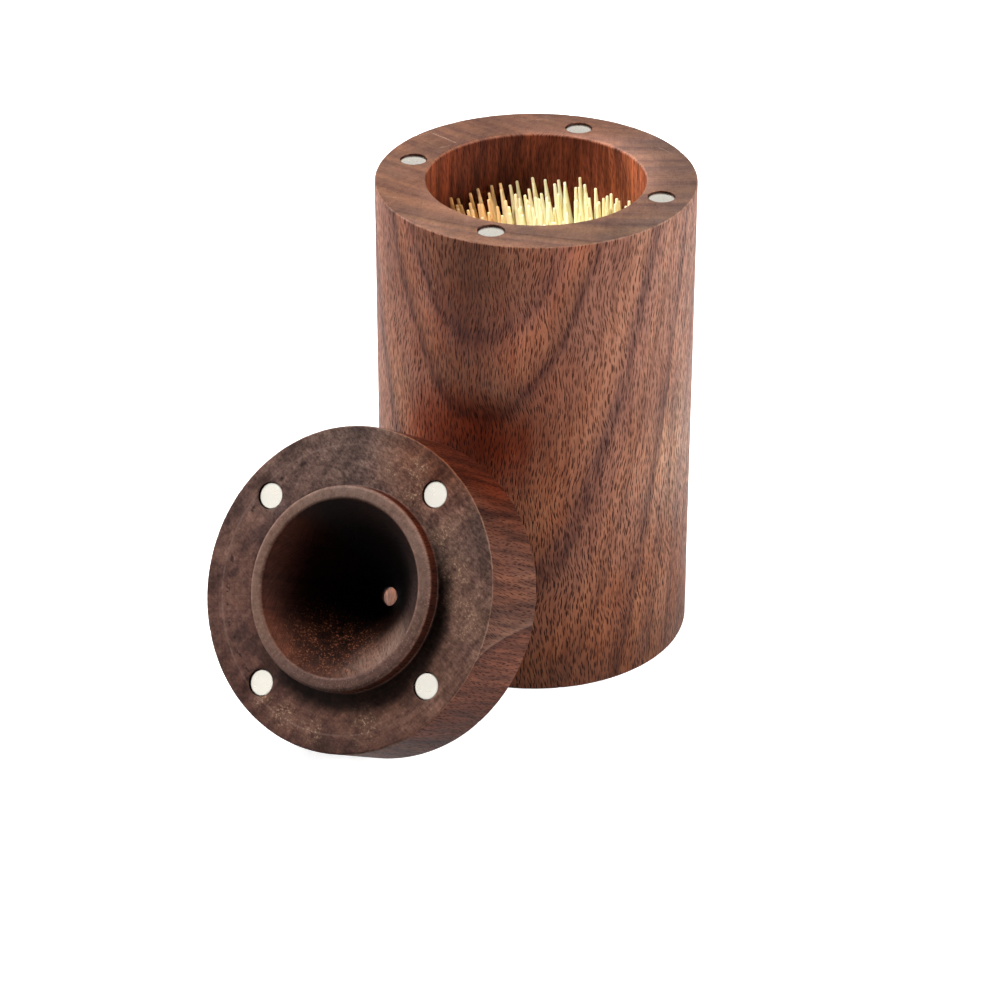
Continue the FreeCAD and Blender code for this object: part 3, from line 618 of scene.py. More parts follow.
class Tree:
    """Short calls for building a shader's nodes."""

    def __init__(self, name):
        self.mat = bpy.data.materials.new(name)
        self.mat.use_nodes = True
        self.t = self.mat.node_tree
        self.t.nodes.clear()
        self.tc = self.t.nodes.new("ShaderNodeTexCoord")
        self.out = self.t.nodes.new("ShaderNodeOutputMaterial")
        self.bsdf = self.t.nodes.new("ShaderNodeBsdfPrincipled")
        self.t.links.new(self.bsdf.outputs[0], self.out.inputs[0])

    def put(self, socket, value):
        if isinstance(value, bpy.types.NodeSocket):
            self.t.links.new(value, socket)
        elif value is not None:
            socket.default_value = value

    def math(self, op, a, b=None, c=None, clamp=False):
        n = self.t.nodes.new("ShaderNodeMath")
        n.operation = op
        n.use_clamp = clamp
        for i, x in enumerate((a, b, c)):
            self.put(n.inputs[i], x)
        return n.outputs[0]

    def vec(self, op, a, b=None, scale=None):
        n = self.t.nodes.new("ShaderNodeVectorMath")
        n.operation = op
        self.put(n.inputs[0], a)
        if b is not None:
            self.put(n.inputs[1], b)
        if scale is not None:
            self.put(n.inputs[3], scale)
        return n.outputs[1] if op in ("LENGTH", "DISTANCE", "DOT_PRODUCT") else n.outputs[0]

    def split(self, v):
        n = self.t.nodes.new("ShaderNodeSeparateXYZ")
        self.put(n.inputs[0], v)
        return n.outputs[0], n.outputs[1], n.outputs[2]

    def join(self, x, y, z):
        n = self.t.nodes.new("ShaderNodeCombineXYZ")
        for i, s in enumerate((x, y, z)):
            self.put(n.inputs[i], s)
        return n.outputs[0]

    def stretch(self, v, sx, sy, sz):
        return self.vec("MULTIPLY", v, (sx, sy, sz))

    def noise(self, v, scale=1.0, detail=2.0, rough=0.5, distortion=0.0, w=None, dims="3D"):
        n = self.t.nodes.new("ShaderNodeTexNoise")
        n.noise_dimensions = dims
        if dims != "1D":
            self.put(n.inputs["Vector"], v)
        if w is not None:
            self.put(n.inputs["W"], w)
        self.put(n.inputs["Scale"], scale)
        self.put(n.inputs["Detail"], detail)
        self.put(n.inputs["Roughness"], rough)
        self.put(n.inputs["Distortion"], distortion)
        return n.outputs["Fac"], n.outputs["Color"]

    def cells(self, v, scale=1.0, randomness=1.0, feature="F1", flat=False):
        n = self.t.nodes.new("ShaderNodeTexVoronoi")
        n.voronoi_dimensions = "2D" if flat else "3D"
        n.feature = feature
        self.put(n.inputs["Vector"], v)
        self.put(n.inputs["Scale"], scale)
        self.put(n.inputs["Randomness"], randomness)
        return n.outputs["Distance"], n.outputs["Color"], n.outputs["Position"]

    def fit(self, x, a0, a1, b0=0.0, b1=1.0, smooth=True):
        n = self.t.nodes.new("ShaderNodeMapRange")
        n.interpolation_type = "SMOOTHSTEP" if smooth else "LINEAR"
        n.clamp = True
        for k, s in (("Value", x), ("From Min", a0), ("From Max", a1),
                     ("To Min", b0), ("To Max", b1)):
            self.put(n.inputs[k], s)
        return n.outputs[0]

    def ramp(self, x, stops, interpolation="LINEAR"):
        n = self.t.nodes.new("ShaderNodeValToRGB")
        n.color_ramp.interpolation = interpolation
        e = n.color_ramp.elements
        while len(e) > 1:
            e.remove(e[-1])
        e[0].position, first = stops[0][0], stops[0][1]
        e[0].color = first if isinstance(first, tuple) else (first, first, first, 1.0)
        for at, col in stops[1:]:
            s = e.new(at)
            s.color = col if isinstance(col, tuple) else (col, col, col, 1.0)
        self.put(n.inputs[0], x)
        return n.outputs[0]

    def mix(self, f, a, b, blend="MIX"):
        n = self.t.nodes.new("ShaderNodeMix")
        n.data_type = "RGBA"
        n.blend_type = blend
        n.clamp_factor = True
        self.put(n.inputs[0], f)
        self.put(n.inputs[6], a)
        self.put(n.inputs[7], b)
        return n.outputs[2]

    def bump(self, height, distance, strength=1.0, normal=None):
        n = self.t.nodes.new("ShaderNodeBump")
        self.put(n.inputs["Height"], height)
        n.inputs["Distance"].default_value = distance
        n.inputs["Strength"].default_value = strength
        if normal is not None:
            self.put(n.inputs["Normal"], normal)
        return n.outputs[0]

    def band(self, x, at, half, soft):
        """1 within half of at, 0 beyond half + soft."""
        d = self.math("ABSOLUTE", self.math("SUBTRACT", x, at))
        return self.fit(d, half, half + soft, 1.0, 0.0)


def walnut(name, rings, tune):
    """Solid walnut: growth rings about a far pith, long pores that show as
    dashes along the grain and dots across it, and fibre. rings places the
    growth lines; tune holds the rest of what sets one block apart from
    another. Positions are the piece's own, in millimetres, grain along Z."""
    N = Tree(name)
    P = N.vec("SCALE", N.tc.outputs["Object"], scale=1000.0)
    nz = N.split(N.tc.outputs["Normal"])[2]
    if "frame" in tune:
        # the piece's own axes, where it doesn't stand along the scene's
        origin, ax, ay, az = tune["frame"]
        P = N.vec("SUBTRACT", P, tuple(origin))
        P = N.join(N.vec("DOT_PRODUCT", P, tuple(ax)), N.vec("DOT_PRODUCT", P, tuple(ay)),
                   N.vec("DOT_PRODUCT", P, tuple(az)))
        nz = N.vec("DOT_PRODUCT", N.tc.outputs["Normal"], tuple(az))
    x0, y0, z0 = N.split(P)
    r = N.math("SQRT", N.math("ADD", N.math("MULTIPLY", x0, x0), N.math("MULTIPLY", y0, y0)))
    across = N.fit(N.math("ABSOLUTE", nz), 0.45, 0.92)   # 1 on end grain
    seeded = N.vec("ADD", P, tune["seed"])

    # the grain wanders slowly along the block
    _, wander = N.noise(N.stretch(seeded, 0.035, 0.035, 0.016), detail=2.0)
    wander = N.vec("MULTIPLY", N.vec("SUBTRACT", wander, (0.5, 0.5, 0.5)), (tune["wander"], tune["wander"], 0.0))
    _, waver = N.noise(N.stretch(seeded, 0.30, 0.30, 0.075), detail=3.0)
    waver = N.vec("MULTIPLY", N.vec("SUBTRACT", waver, (0.5, 0.5, 0.5)), (tune["waver"], tune["waver"], 0.0))
    Q = N.vec("ADD", N.vec("ADD", P, wander), waver)
    x, y, z = N.split(Q)

    # growth rings: distance from the pith, whose line bends with height
    t = N.math("DIVIDE", z, 50.0)
    tt = N.math("MULTIPLY", t, t)
    px = N.math("ADD", N.math("MULTIPLY_ADD", t, rings["px"][1], rings["px"][0]), N.math("MULTIPLY", tt, rings["px"][2]))
    py = N.math("MULTIPLY_ADD", t, rings["py"][1], rings["py"][0])
    dx, dy = N.math("SUBTRACT", x, px), N.math("SUBTRACT", y, py)
    dist = N.math("SQRT", N.math("ADD", N.math("MULTIPLY", dx, dx), N.math("MULTIPLY", dy, dy)))
    g = N.math("ADD", N.math("MULTIPLY_ADD", z, rings["k"][0], dist), N.math("MULTIPLY", tt, rings["k"][1]))
    lo, hi = rings["span"]
    u = N.math("DIVIDE", N.math("SUBTRACT", g, lo), hi - lo)
    late = None
    for i in range(0, len(rings["levels"]), 7):
        part = rings["levels"][i:i + 7]
        stops = [(0.0, 0.0)]
        for level, dark, sharp, fade in sorted(part):
            for at, v in ((level - sharp, 0.0), (level, dark), (level + sharp * 0.9, dark * 0.62),
                          (level + fade, 0.0)):
                f = (at - lo) / (hi - lo)
                if f > stops[-1][0] + 1e-4 and f < 1.0:
                    stops.append((f, v))
        ring = N.ramp(u, stops)
        late = ring if late is None else N.math("MAXIMUM", late, ring)
    # broken up along its length, as rings are
    brk, _ = N.noise(N.stretch(seeded, 1.1, 1.1, 0.16), detail=3.0, rough=0.6)
    late = N.math("MULTIPLY", late, N.fit(brk, 0.30, 0.66, 0.30, 1.15))
    fine, _ = N.noise(None, w=N.math("ADD", g, 7.3), scale=1.35, detail=3.0, rough=0.65, dims="1D")

    # fibre and colour drift
    fib, _ = N.noise(N.stretch(Q, 2.6, 2.6, 0.16), detail=3.0, rough=0.6)
    streak, _ = N.noise(N.stretch(Q, 0.75, 0.75, 0.035), detail=3.0, rough=0.55)
    mottle, _ = N.noise(N.stretch(seeded, 0.09, 0.09, 0.045), detail=3.0, rough=0.5)
    blush, _ = N.noise(N.stretch(N.vec("ADD", seeded, (31.0, -12.0, 5.0)), 0.05, 0.05, 0.03), detail=2.0)

    # pores: long cells cut open by the surface, dashes along the grain; the
    # grain leans a little to one side and the other from place to place
    _, lean = N.noise(N.stretch(N.vec("ADD", seeded, (-9.0, 21.0, 33.0)), 0.045, 0.045, 0.05), detail=1.0)
    lean = N.vec("MULTIPLY", N.vec("SUBTRACT", lean, (0.5, 0.5, 0.5)), (tune["lean"], tune["lean"], 0.0))
    pq = N.vec("ADD", Q, lean)
    qx, qy, qz = N.split(pq)
    pw, pl = tune["pore_w"], tune["pore_l"]
    round_it = N.math("MULTIPLY", N.math("ARCTAN2", qx, N.math("MULTIPLY", qy, -1.0)), r)
    pore = None
    for gap, pitch, half_w, half_l, off in ((pw, pl, tune["pore_r"], tune["pore_h"], 0.0),
                                            (pw * 1.35, pl * 1.45, tune["pore_r"] * 0.85, tune["pore_h"] * 1.4, 41.3)):
        cu = N.math("DIVIDE", N.math("ADD", round_it, off), gap)
        cw = N.math("DIVIDE", qz, pitch)
        _, c1, at1 = N.cells(N.join(cu, cw, 0.0), randomness=0.95, flat=True)
        k1, k2, _ = N.split(c1)
        ax1, ay1, _ = N.split(at1)
        du = N.math("MULTIPLY", N.math("SUBTRACT", cu, ax1), gap / half_w)
        dw = N.math("MULTIPLY", N.math("SUBTRACT", cw, ay1), pitch / half_l)
        size = N.fit(k1, 0.0, 1.0, 0.72, 1.15, smooth=False)
        du, dw = N.math("DIVIDE", du, size), N.math("DIVIDE", dw, size)
        slim = N.math("MAXIMUM", N.math("SUBTRACT", 1.0, N.math("MULTIPLY", dw, dw)), 0.04)
        away = N.math("DIVIDE", N.math("ABSOLUTE", du), slim)
        dash = N.math("MULTIPLY", N.fit(away, 0.45, 1.30, 1.0, 0.0), N.fit(k2, 0.0, 0.7, 0.45, 1.0, smooth=False))
        pore = dash if pore is None else N.math("MAXIMUM", pore, dash)
    pore = N.math("MULTIPLY", pore, N.fit(across, 0.3, 0.7, 1.0, 0.0))
    d2, c2, _ = N.cells(N.stretch(N.vec("ADD", pq, (17.0, 3.0, 9.0)), 1 / 0.33, 1 / 0.33, 1 / 2.2))
    m1, m2, m3 = N.split(c2)
    small = N.fit(N.math("SUBTRACT", d2, N.math("MULTIPLY", m1, 0.32)), -0.06, 0.06, 1.0, 0.0)
    small = N.math("MULTIPLY", small, N.fit(m2, 0.2, 1.0, 0.0, 0.55, smooth=False))
    dense = N.fit(mottle, 0.35, 0.7, tune["dense"][0], tune["dense"][1])
    dense = N.math("MULTIPLY", dense, N.fit(r, tune["quiet"], tune["quiet"] + 0.4, 0.70, 1.0))
    pore = N.math("MULTIPLY", N.math("MAXIMUM", pore, small), dense)
    pore = N.math("MULTIPLY", pore, N.fit(across, 0.0, 1.0, 1.0, tune["end_pore"], smooth=False))

    # colour
    tone = N.math("MULTIPLY_ADD", N.math("SUBTRACT", fib, 0.5), 0.45, 0.5)
    tone = N.math("MULTIPLY_ADD", N.math("SUBTRACT", streak, 0.5), 0.50, tone)
    tone = N.math("MULTIPLY_ADD", N.math("SUBTRACT", mottle, 0.5), 0.60, tone)
    tone = N.math("MULTIPLY_ADD", N.math("SUBTRACT", fine, 0.5), 0.30, tone)
    wood = N.ramp(tone, tune["wood"])
    wood = N.mix(N.fit(blush, 0.42, 0.68), wood, N.ramp(tone, tune["blush"]))
    wood = N.mix(N.math("MULTIPLY", late, tune["late"]), wood, tune["late_colour"])
    wood = N.mix(N.math("MULTIPLY", pore, tune["pore"]), wood, tune["pore_colour"])

    # end grain: flatter, greyer, with thin rays across the rings
    ray_u = N.math("MULTIPLY", N.math("ARCTAN2", dx, dy), 60.0)
    ray, _ = N.noise(N.join(N.math("MULTIPLY", ray_u, 1.6), N.math("MULTIPLY", g, 0.16), 0.0), detail=2.0, rough=0.6)
    end_tone = N.math("MULTIPLY_ADD", N.math("SUBTRACT", ray, 0.5), 0.35, tone)
    end_wood = N.ramp(end_tone, tune["end"])
    end_wood = N.mix(N.math("MULTIPLY", late, tune["end_late"]), end_wood, tune["late_colour"])
    end_wood = N.mix(N.math("MULTIPLY", pore, tune["pore"]), end_wood, tune["pore_colour"])
    wood = N.mix(across, wood, end_wood)

    return N, dict(P=P, Q=Q, x=x0, y=y0, z=z0, r=r, nz=nz, across=across, g=g, late=late,
                   fib=fib, streak=streak, mottle=mottle, pore=pore, tone=tone, wood=wood,
                   seeded=seeded, ray=ray)


def finish_wood(N, v, colour, rough, spec, extra_height=None):
    N.put(N.bsdf.inputs["Base Color"], colour)
    N.put(N.bsdf.inputs["Roughness"], rough)
    N.bsdf.inputs["Specular IOR Level"].default_value = spec
    N.bsdf.inputs["IOR"].default_value = 1.45
    height = N.math("MULTIPLY_ADD", v["pore"], -1.0, N.math("MULTIPLY", v["fib"], 0.28))
    if extra_height is not None:
        height = N.math("ADD", height, extra_height)
    N.put(N.bsdf.inputs["Normal"], N.bump(height, 0.00009, 0.55))
    return N.mat


# light scratches on the rim's face: from, to, how strong
SCRATCHES = [((-20.2, 20.4), (-15.0, 15.4), 0.65), ((-22.6, 18.6), (-20.2, 20.4), 0.45),
             ((-18.4, 13.0), (-16.2, 14.6), 0.35), ((-27.8, -8.4), (-25.2, -9.6), 0.4),
             ((23.0, 14.2), (25.8, 10.8), 0.3), ((-3.0, 26.4), (3.4, 27.2), 0.3)]


def pockets(N, v, start_deg, top):
    """1 on the walls of the four magnet pockets sunk from height top."""
    flat = N.join(v["x"], v["y"], 0.0)
    near = None
    for k in range(4):
        a = math.radians(start_deg + 90.0 * k)
        d = N.vec("DISTANCE", flat, (MAGNET_CIRCLE_R * math.cos(a), MAGNET_CIRCLE_R * math.sin(a), 0.0))
        near = d if near is None else N.math("MINIMUM", near, d)
    inside = N.math("MULTIPLY", N.fit(near, POCKET_R + 0.06, POCKET_R + 0.02), N.fit(v["z"], top - 0.03, top - 0.12))
    inside = N.math("MULTIPLY", inside, N.fit(v["z"], top - 5.0, top - 4.5))
    return N.math("MULTIPLY", inside, 0.9)


def cup_material():
    rings = dict(
        px=(11.152, 16.382, -6.222), py=(75.0, -8.0), k=(0.277, 0.92), span=(40.0, 130.0),
        levels=[(119.43, 0.95, 0.35, 2.4), (116.63, 0.85, 0.55, 1.8), (109.31, 0.95, 0.8, 1.7),
                (100.45, 0.9, 0.8, 1.7), (113.4, 0.30, 0.6, 1.4), (104.9, 0.5, 0.6, 1.5),
                (96.2, 0.7, 0.6, 1.6), (92.0, 0.55, 0.6, 1.5),
                (87.3, 0.9, 0.7, 1.9), (81.0, 0.7, 0.6, 1.6), (75.2, 0.9, 0.7, 1.8),
                (68.4, 0.65, 0.6, 1.5), (62.1, 0.95, 0.7, 1.8), (55.0, 0.8, 0.6, 1.6),
                (48.0, 0.8, 0.6, 1.6)])
    tune = dict(
        seed=(3.0, 11.0, -4.0), quiet=BORE_R + 0.2, wander=1.6, waver=0.9, lean=7.0,
        pore_w=0.64, pore_l=1.70, pore_r=0.125, pore_h=0.84, dense=(0.9, 1.0), end_pore=0.8,
        wood=[(0.05, lin(94, 59, 47)), (0.35, lin(132, 87, 69)), (0.55, lin(154, 104, 83)),
              (0.8, lin(174, 121, 96)), (1.0, lin(188, 136, 110))],
        blush=[(0.05, lin(94, 50, 35)), (0.35, lin(136, 80, 58)), (0.6, lin(158, 100, 74)),
               (1.0, lin(188, 130, 98))],
        end=[(0.05, lin(84, 56, 44)), (0.4, lin(116, 81, 65)), (0.65, lin(132, 94, 76)),
             (1.0, lin(154, 113, 92))],
        late=0.78, late_colour=lin(62, 40, 39), end_late=0.4, pore=0.92, pore_colour=lin(50, 26, 20))
    N, v = walnut("walnut_cup", rings, tune)
    colour = v["wood"]
    # painted light along the heart of the figure and beside it, filling the shade the side lights leave on the front
    heart_painted_light = N.fit(v["g"], 117.0, 119.0)
    colour = N.mix(heart_painted_light, colour, N.mix(1.0, colour, (1.36, 1.30, 1.30, 1.0), "MULTIPLY"))
    spot = N.vec("DISTANCE", v["P"], (-13.5, -26.8, 71.0))
    colour = N.mix(N.fit(spot, 21.0, 6.0), colour, N.mix(1.0, colour, (1.62, 1.68, 1.76, 1.0), "MULTIPLY"))
    # from one year to the next the wood turns from orange to purple brown
    years, _ = N.noise(None, w=N.math("ADD", v["g"], 3.1), scale=0.30, detail=2.0, rough=0.55, dims="1D")
    colour = N.mix(1.0, colour, N.mix(N.fit(years, 0.36, 0.62), (0.89, 0.87, 0.93, 1.0), (1.11, 1.07, 1.03, 1.0)), "MULTIPLY")
    # paler and greyer towards +X, a painted sheen; darker low down, painted shade
    colour = N.mix(N.fit(v["x"], 8.0, 28.0), colour, N.mix(1.0, colour, (0.93, 1.10, 1.22, 1.0), "MULTIPLY"))
    colour = N.mix(N.fit(v["z"], 50.0, 8.0), colour, N.mix(1.0, colour, (0.74, 0.68, 0.61, 1.0), "MULTIPLY"))
    skin = N.math("MULTIPLY", N.fit(v["r"], BODY_R - 1.5, BODY_R - 0.8), N.fit(v["across"], 0.6, 0.2))
    colour = N.mix(N.math("MULTIPLY", skin, N.fit(v["z"], 54.0, 66.0)), colour, N.mix(1.0, colour, (1.10, 1.10, 1.10, 1.0), "MULTIPLY"))
    # the pores are deepest low down, where they stand out black
    sharp = N.math("MULTIPLY", N.math("MULTIPLY", v["pore"], skin), N.fit(v["z"], 62.0, 30.0, 0.25, 0.75))
    colour = N.mix(sharp, colour, lin(30, 15, 11))
    # painted shade with reddish light thrown back from the lid, low on the left of the front where the lid shades the
    # cup, darkest just above it
    spot = N.vec("DISTANCE", v["P"], (-14.0, -26.5, 50.0))
    colour = N.mix(N.fit(spot, 17.0, 6.0, 0.0, 0.9), colour, N.mix(1.0, colour, (1.36, 0.68, 0.42, 1.0), "MULTIPLY"))
    spot = N.vec("DISTANCE", v["P"], (-6.5, -29.0, 55.0))
    colour = N.mix(N.fit(spot, 10.0, 3.0), colour, N.mix(1.0, colour, (0.76, 0.58, 0.46, 1.0), "MULTIPLY"))
    # a small pale spot low down on the left
    spot = N.vec("DISTANCE", v["P"], (-28.1, -10.4, 10.1))
    colour = N.mix(N.fit(spot, 4.6, 1.6), colour, N.mix(1.0, colour, (1.70, 1.95, 2.0, 1.0), "MULTIPLY"))
    # painted highlights on the right side at half height and on the left edge higher up; the foot is darkest, painted
    # shade
    spot = N.vec("DISTANCE", v["P"], (27.5, -11.0, 43.0))
    colour = N.mix(N.fit(spot, 19.0, 6.0), colour, N.mix(1.0, colour, (1.32, 1.52, 1.56, 1.0), "MULTIPLY"))
    spot = N.vec("DISTANCE", v["P"], (23.0, -19.0, 45.0))
    colour = N.mix(N.fit(spot, 11.0, 3.0), colour, N.mix(1.0, colour, (1.14, 1.08, 1.00, 1.0), "MULTIPLY"))
    spot = N.vec("DISTANCE", v["P"], (-28.5, -9.5, 54.0))
    colour = N.mix(N.fit(spot, 15.0, 5.0), colour, N.mix(1.0, colour, (1.16, 1.22, 1.20, 1.0), "MULTIPLY"))
    colour = N.mix(N.fit(v["z"], 15.0, 2.0), colour, N.mix(1.0, colour, (0.66, 0.65, 0.65, 1.0), "MULTIPLY"))
    # the bore took more oil, and its cut runs along the fibre in long dark streaks
    inside = N.math("MULTIPLY", N.fit(v["r"], BORE_R + 0.5, BORE_R + 0.2), N.fit(v["z"], CASING_H - 0.2, CASING_H - 0.8))
    long_streak, _ = N.noise(N.stretch(v["seeded"], 0.95, 0.95, 0.07), detail=4.0, rough=0.65)
    oiled = N.mix(N.fit(long_streak, 0.34, 0.62), (0.58, 0.38, 0.28, 1.0), (1.30, 0.88, 0.66, 1.0))
    colour = N.mix(inside, colour, N.mix(1.0, colour, oiled, "MULTIPLY"))
    # painted shade on the bore's back and -X walls, which the light doesn't reach
    back = N.math("MAXIMUM", N.fit(v["y"], 3.0, 17.0, 0.0, 0.93), N.fit(v["x"], 0.0, -18.0, 0.0, 0.66))
    colour = N.mix(N.math("MULTIPLY", inside, back), colour, N.mix(1.0, colour, (0.26, 0.20, 0.18, 1.0), "MULTIPLY"))
    # painted light on the bore's wall towards +X +Y; a little darker again by the +X wall
    bore_painted_light = N.math("MULTIPLY", inside, N.math("MULTIPLY", N.fit(v["x"], 6.0, 13.0), N.fit(v["y"], 2.5, 8.0)))
    colour = N.mix(bore_painted_light, colour, N.mix(1.0, colour, (1.42, 1.55, 1.52, 1.0), "MULTIPLY"))
    colour = N.mix(N.math("MULTIPLY", inside, N.fit(v["x"], 16.0, 18.6)), colour, N.mix(1.0, colour, (0.78, 0.68, 0.64, 1.0), "MULTIPLY"))
    # the walls of the magnets' pockets are dark, partly glue and oil and partly painted shade in the recess
    pocket_glue_and_shade = pockets(N, v, CASING_MAGNET_AZ, CASING_H)
    colour = N.mix(pocket_glue_and_shade, colour, lin(40, 22, 16))
    # fine dark dots and a light scratch or two on the rim's face
    top = N.math("MULTIPLY", v["across"], N.fit(v["z"], CASING_H - 0.2, CASING_H - 0.05))
    colour = N.mix(N.math("MULTIPLY", top, N.fit(v["x"], -14.0, -25.0)), colour, N.mix(1.0, colour, (1.18, 1.18, 1.13, 1.0), "MULTIPLY"))
    colour = N.mix(N.math("MULTIPLY", top, N.fit(v["y"], -12.0, -24.0)), colour, N.mix(1.0, colour, (1.01, 1.14, 1.14, 1.0), "MULTIPLY"))
    dots, _ = N.noise(N.stretch(v["seeded"], 2.6, 2.6, 2.6), detail=2.0, rough=0.6)
    colour = N.mix(N.math("MULTIPLY", top, N.fit(dots, 0.58, 0.68, 0.0, 0.55)), colour, lin(62, 38, 30))
    stain, _ = N.noise(N.stretch(v["seeded"], 0.14, 0.14, 0.14), detail=4.0, rough=0.6)
    colour = N.mix(N.math("MULTIPLY", top, N.fit(stain, 0.44, 0.62, 0.0, 0.8)), colour, N.mix(1.0, colour, (0.74, 0.80, 0.88, 1.0), "MULTIPLY"))
    jag, _ = N.noise(N.stretch(v["seeded"], 1.4, 1.4, 1.4), detail=2.0, rough=0.6)
    for (ax_, ay_), (bx_, by_), strong in SCRATCHES:
        ux, uy = bx_ - ax_, by_ - ay_
        long = math.hypot(ux, uy)
        ux, uy = ux / long, uy / long
        sx, sy = N.math("SUBTRACT", v["x"], ax_), N.math("SUBTRACT", v["y"], ay_)
        along = N.math("ADD", N.math("MULTIPLY", sx, ux), N.math("MULTIPLY", sy, uy))
        side = N.math("SUBTRACT", N.math("MULTIPLY", sx, uy), N.math("MULTIPLY", sy, ux))
        side = N.math("ABSOLUTE", N.math("ADD", side, N.math("MULTIPLY", N.math("SUBTRACT", jag, 0.5), 0.5)))
        scratch = N.math("MULTIPLY", N.fit(side, 0.03, 0.16, 1.0, 0.0), N.math("MULTIPLY", N.fit(along, -0.3, 0.5), N.fit(along, long + 0.3, long - 0.8)))
        scratch = N.math("MULTIPLY", N.math("MULTIPLY", scratch, top), N.fit(jag, 0.30, 0.55, 0.2, 1.0))
        colour = N.mix(N.math("MULTIPLY", scratch, strong), colour, lin(198, 164, 142))
    # thin light line along the edges of the rim, partly wear with small chips and partly painted highlight
    e1 = N.math("MULTIPLY", N.fit(v["r"], BODY_R - 0.30, BODY_R - 0.08), N.fit(v["z"], CASING_H - 0.34, CASING_H - 0.12))
    e2 = N.math("MULTIPLY", N.fit(v["r"], BORE_R + 0.32, BORE_R + 0.10), N.fit(v["z"], CASING_H - 0.42, CASING_H - 0.16))
    brk, _ = N.noise(N.stretch(v["seeded"], 0.9, 0.9, 0.9), detail=4.0, rough=0.65)
    edge = N.math("MULTIPLY", N.math("MAXIMUM", e1, N.math("MULTIPLY", e2, 0.3)), N.fit(brk, 0.36, 0.62, 0.2, 0.9))
    colour = N.mix(N.math("MULTIPLY", edge, 0.45), colour, lin(196, 154, 128))
    rough = N.math("MULTIPLY_ADD", v["fib"], 0.16, 0.42)
    rough = N.math("MULTIPLY_ADD", v["pore"], 0.25, rough)
    # turning and sanding marks on the rim's face
    lathe, _ = N.noise(None, w=v["r"], scale=3.2, detail=2.0, rough=0.6, dims="1D")
    marks = N.math("MULTIPLY", N.math("MULTIPLY", lathe, v["across"]), 0.35)
    return finish_wood(N, v, colour, rough, 0.09, marks)


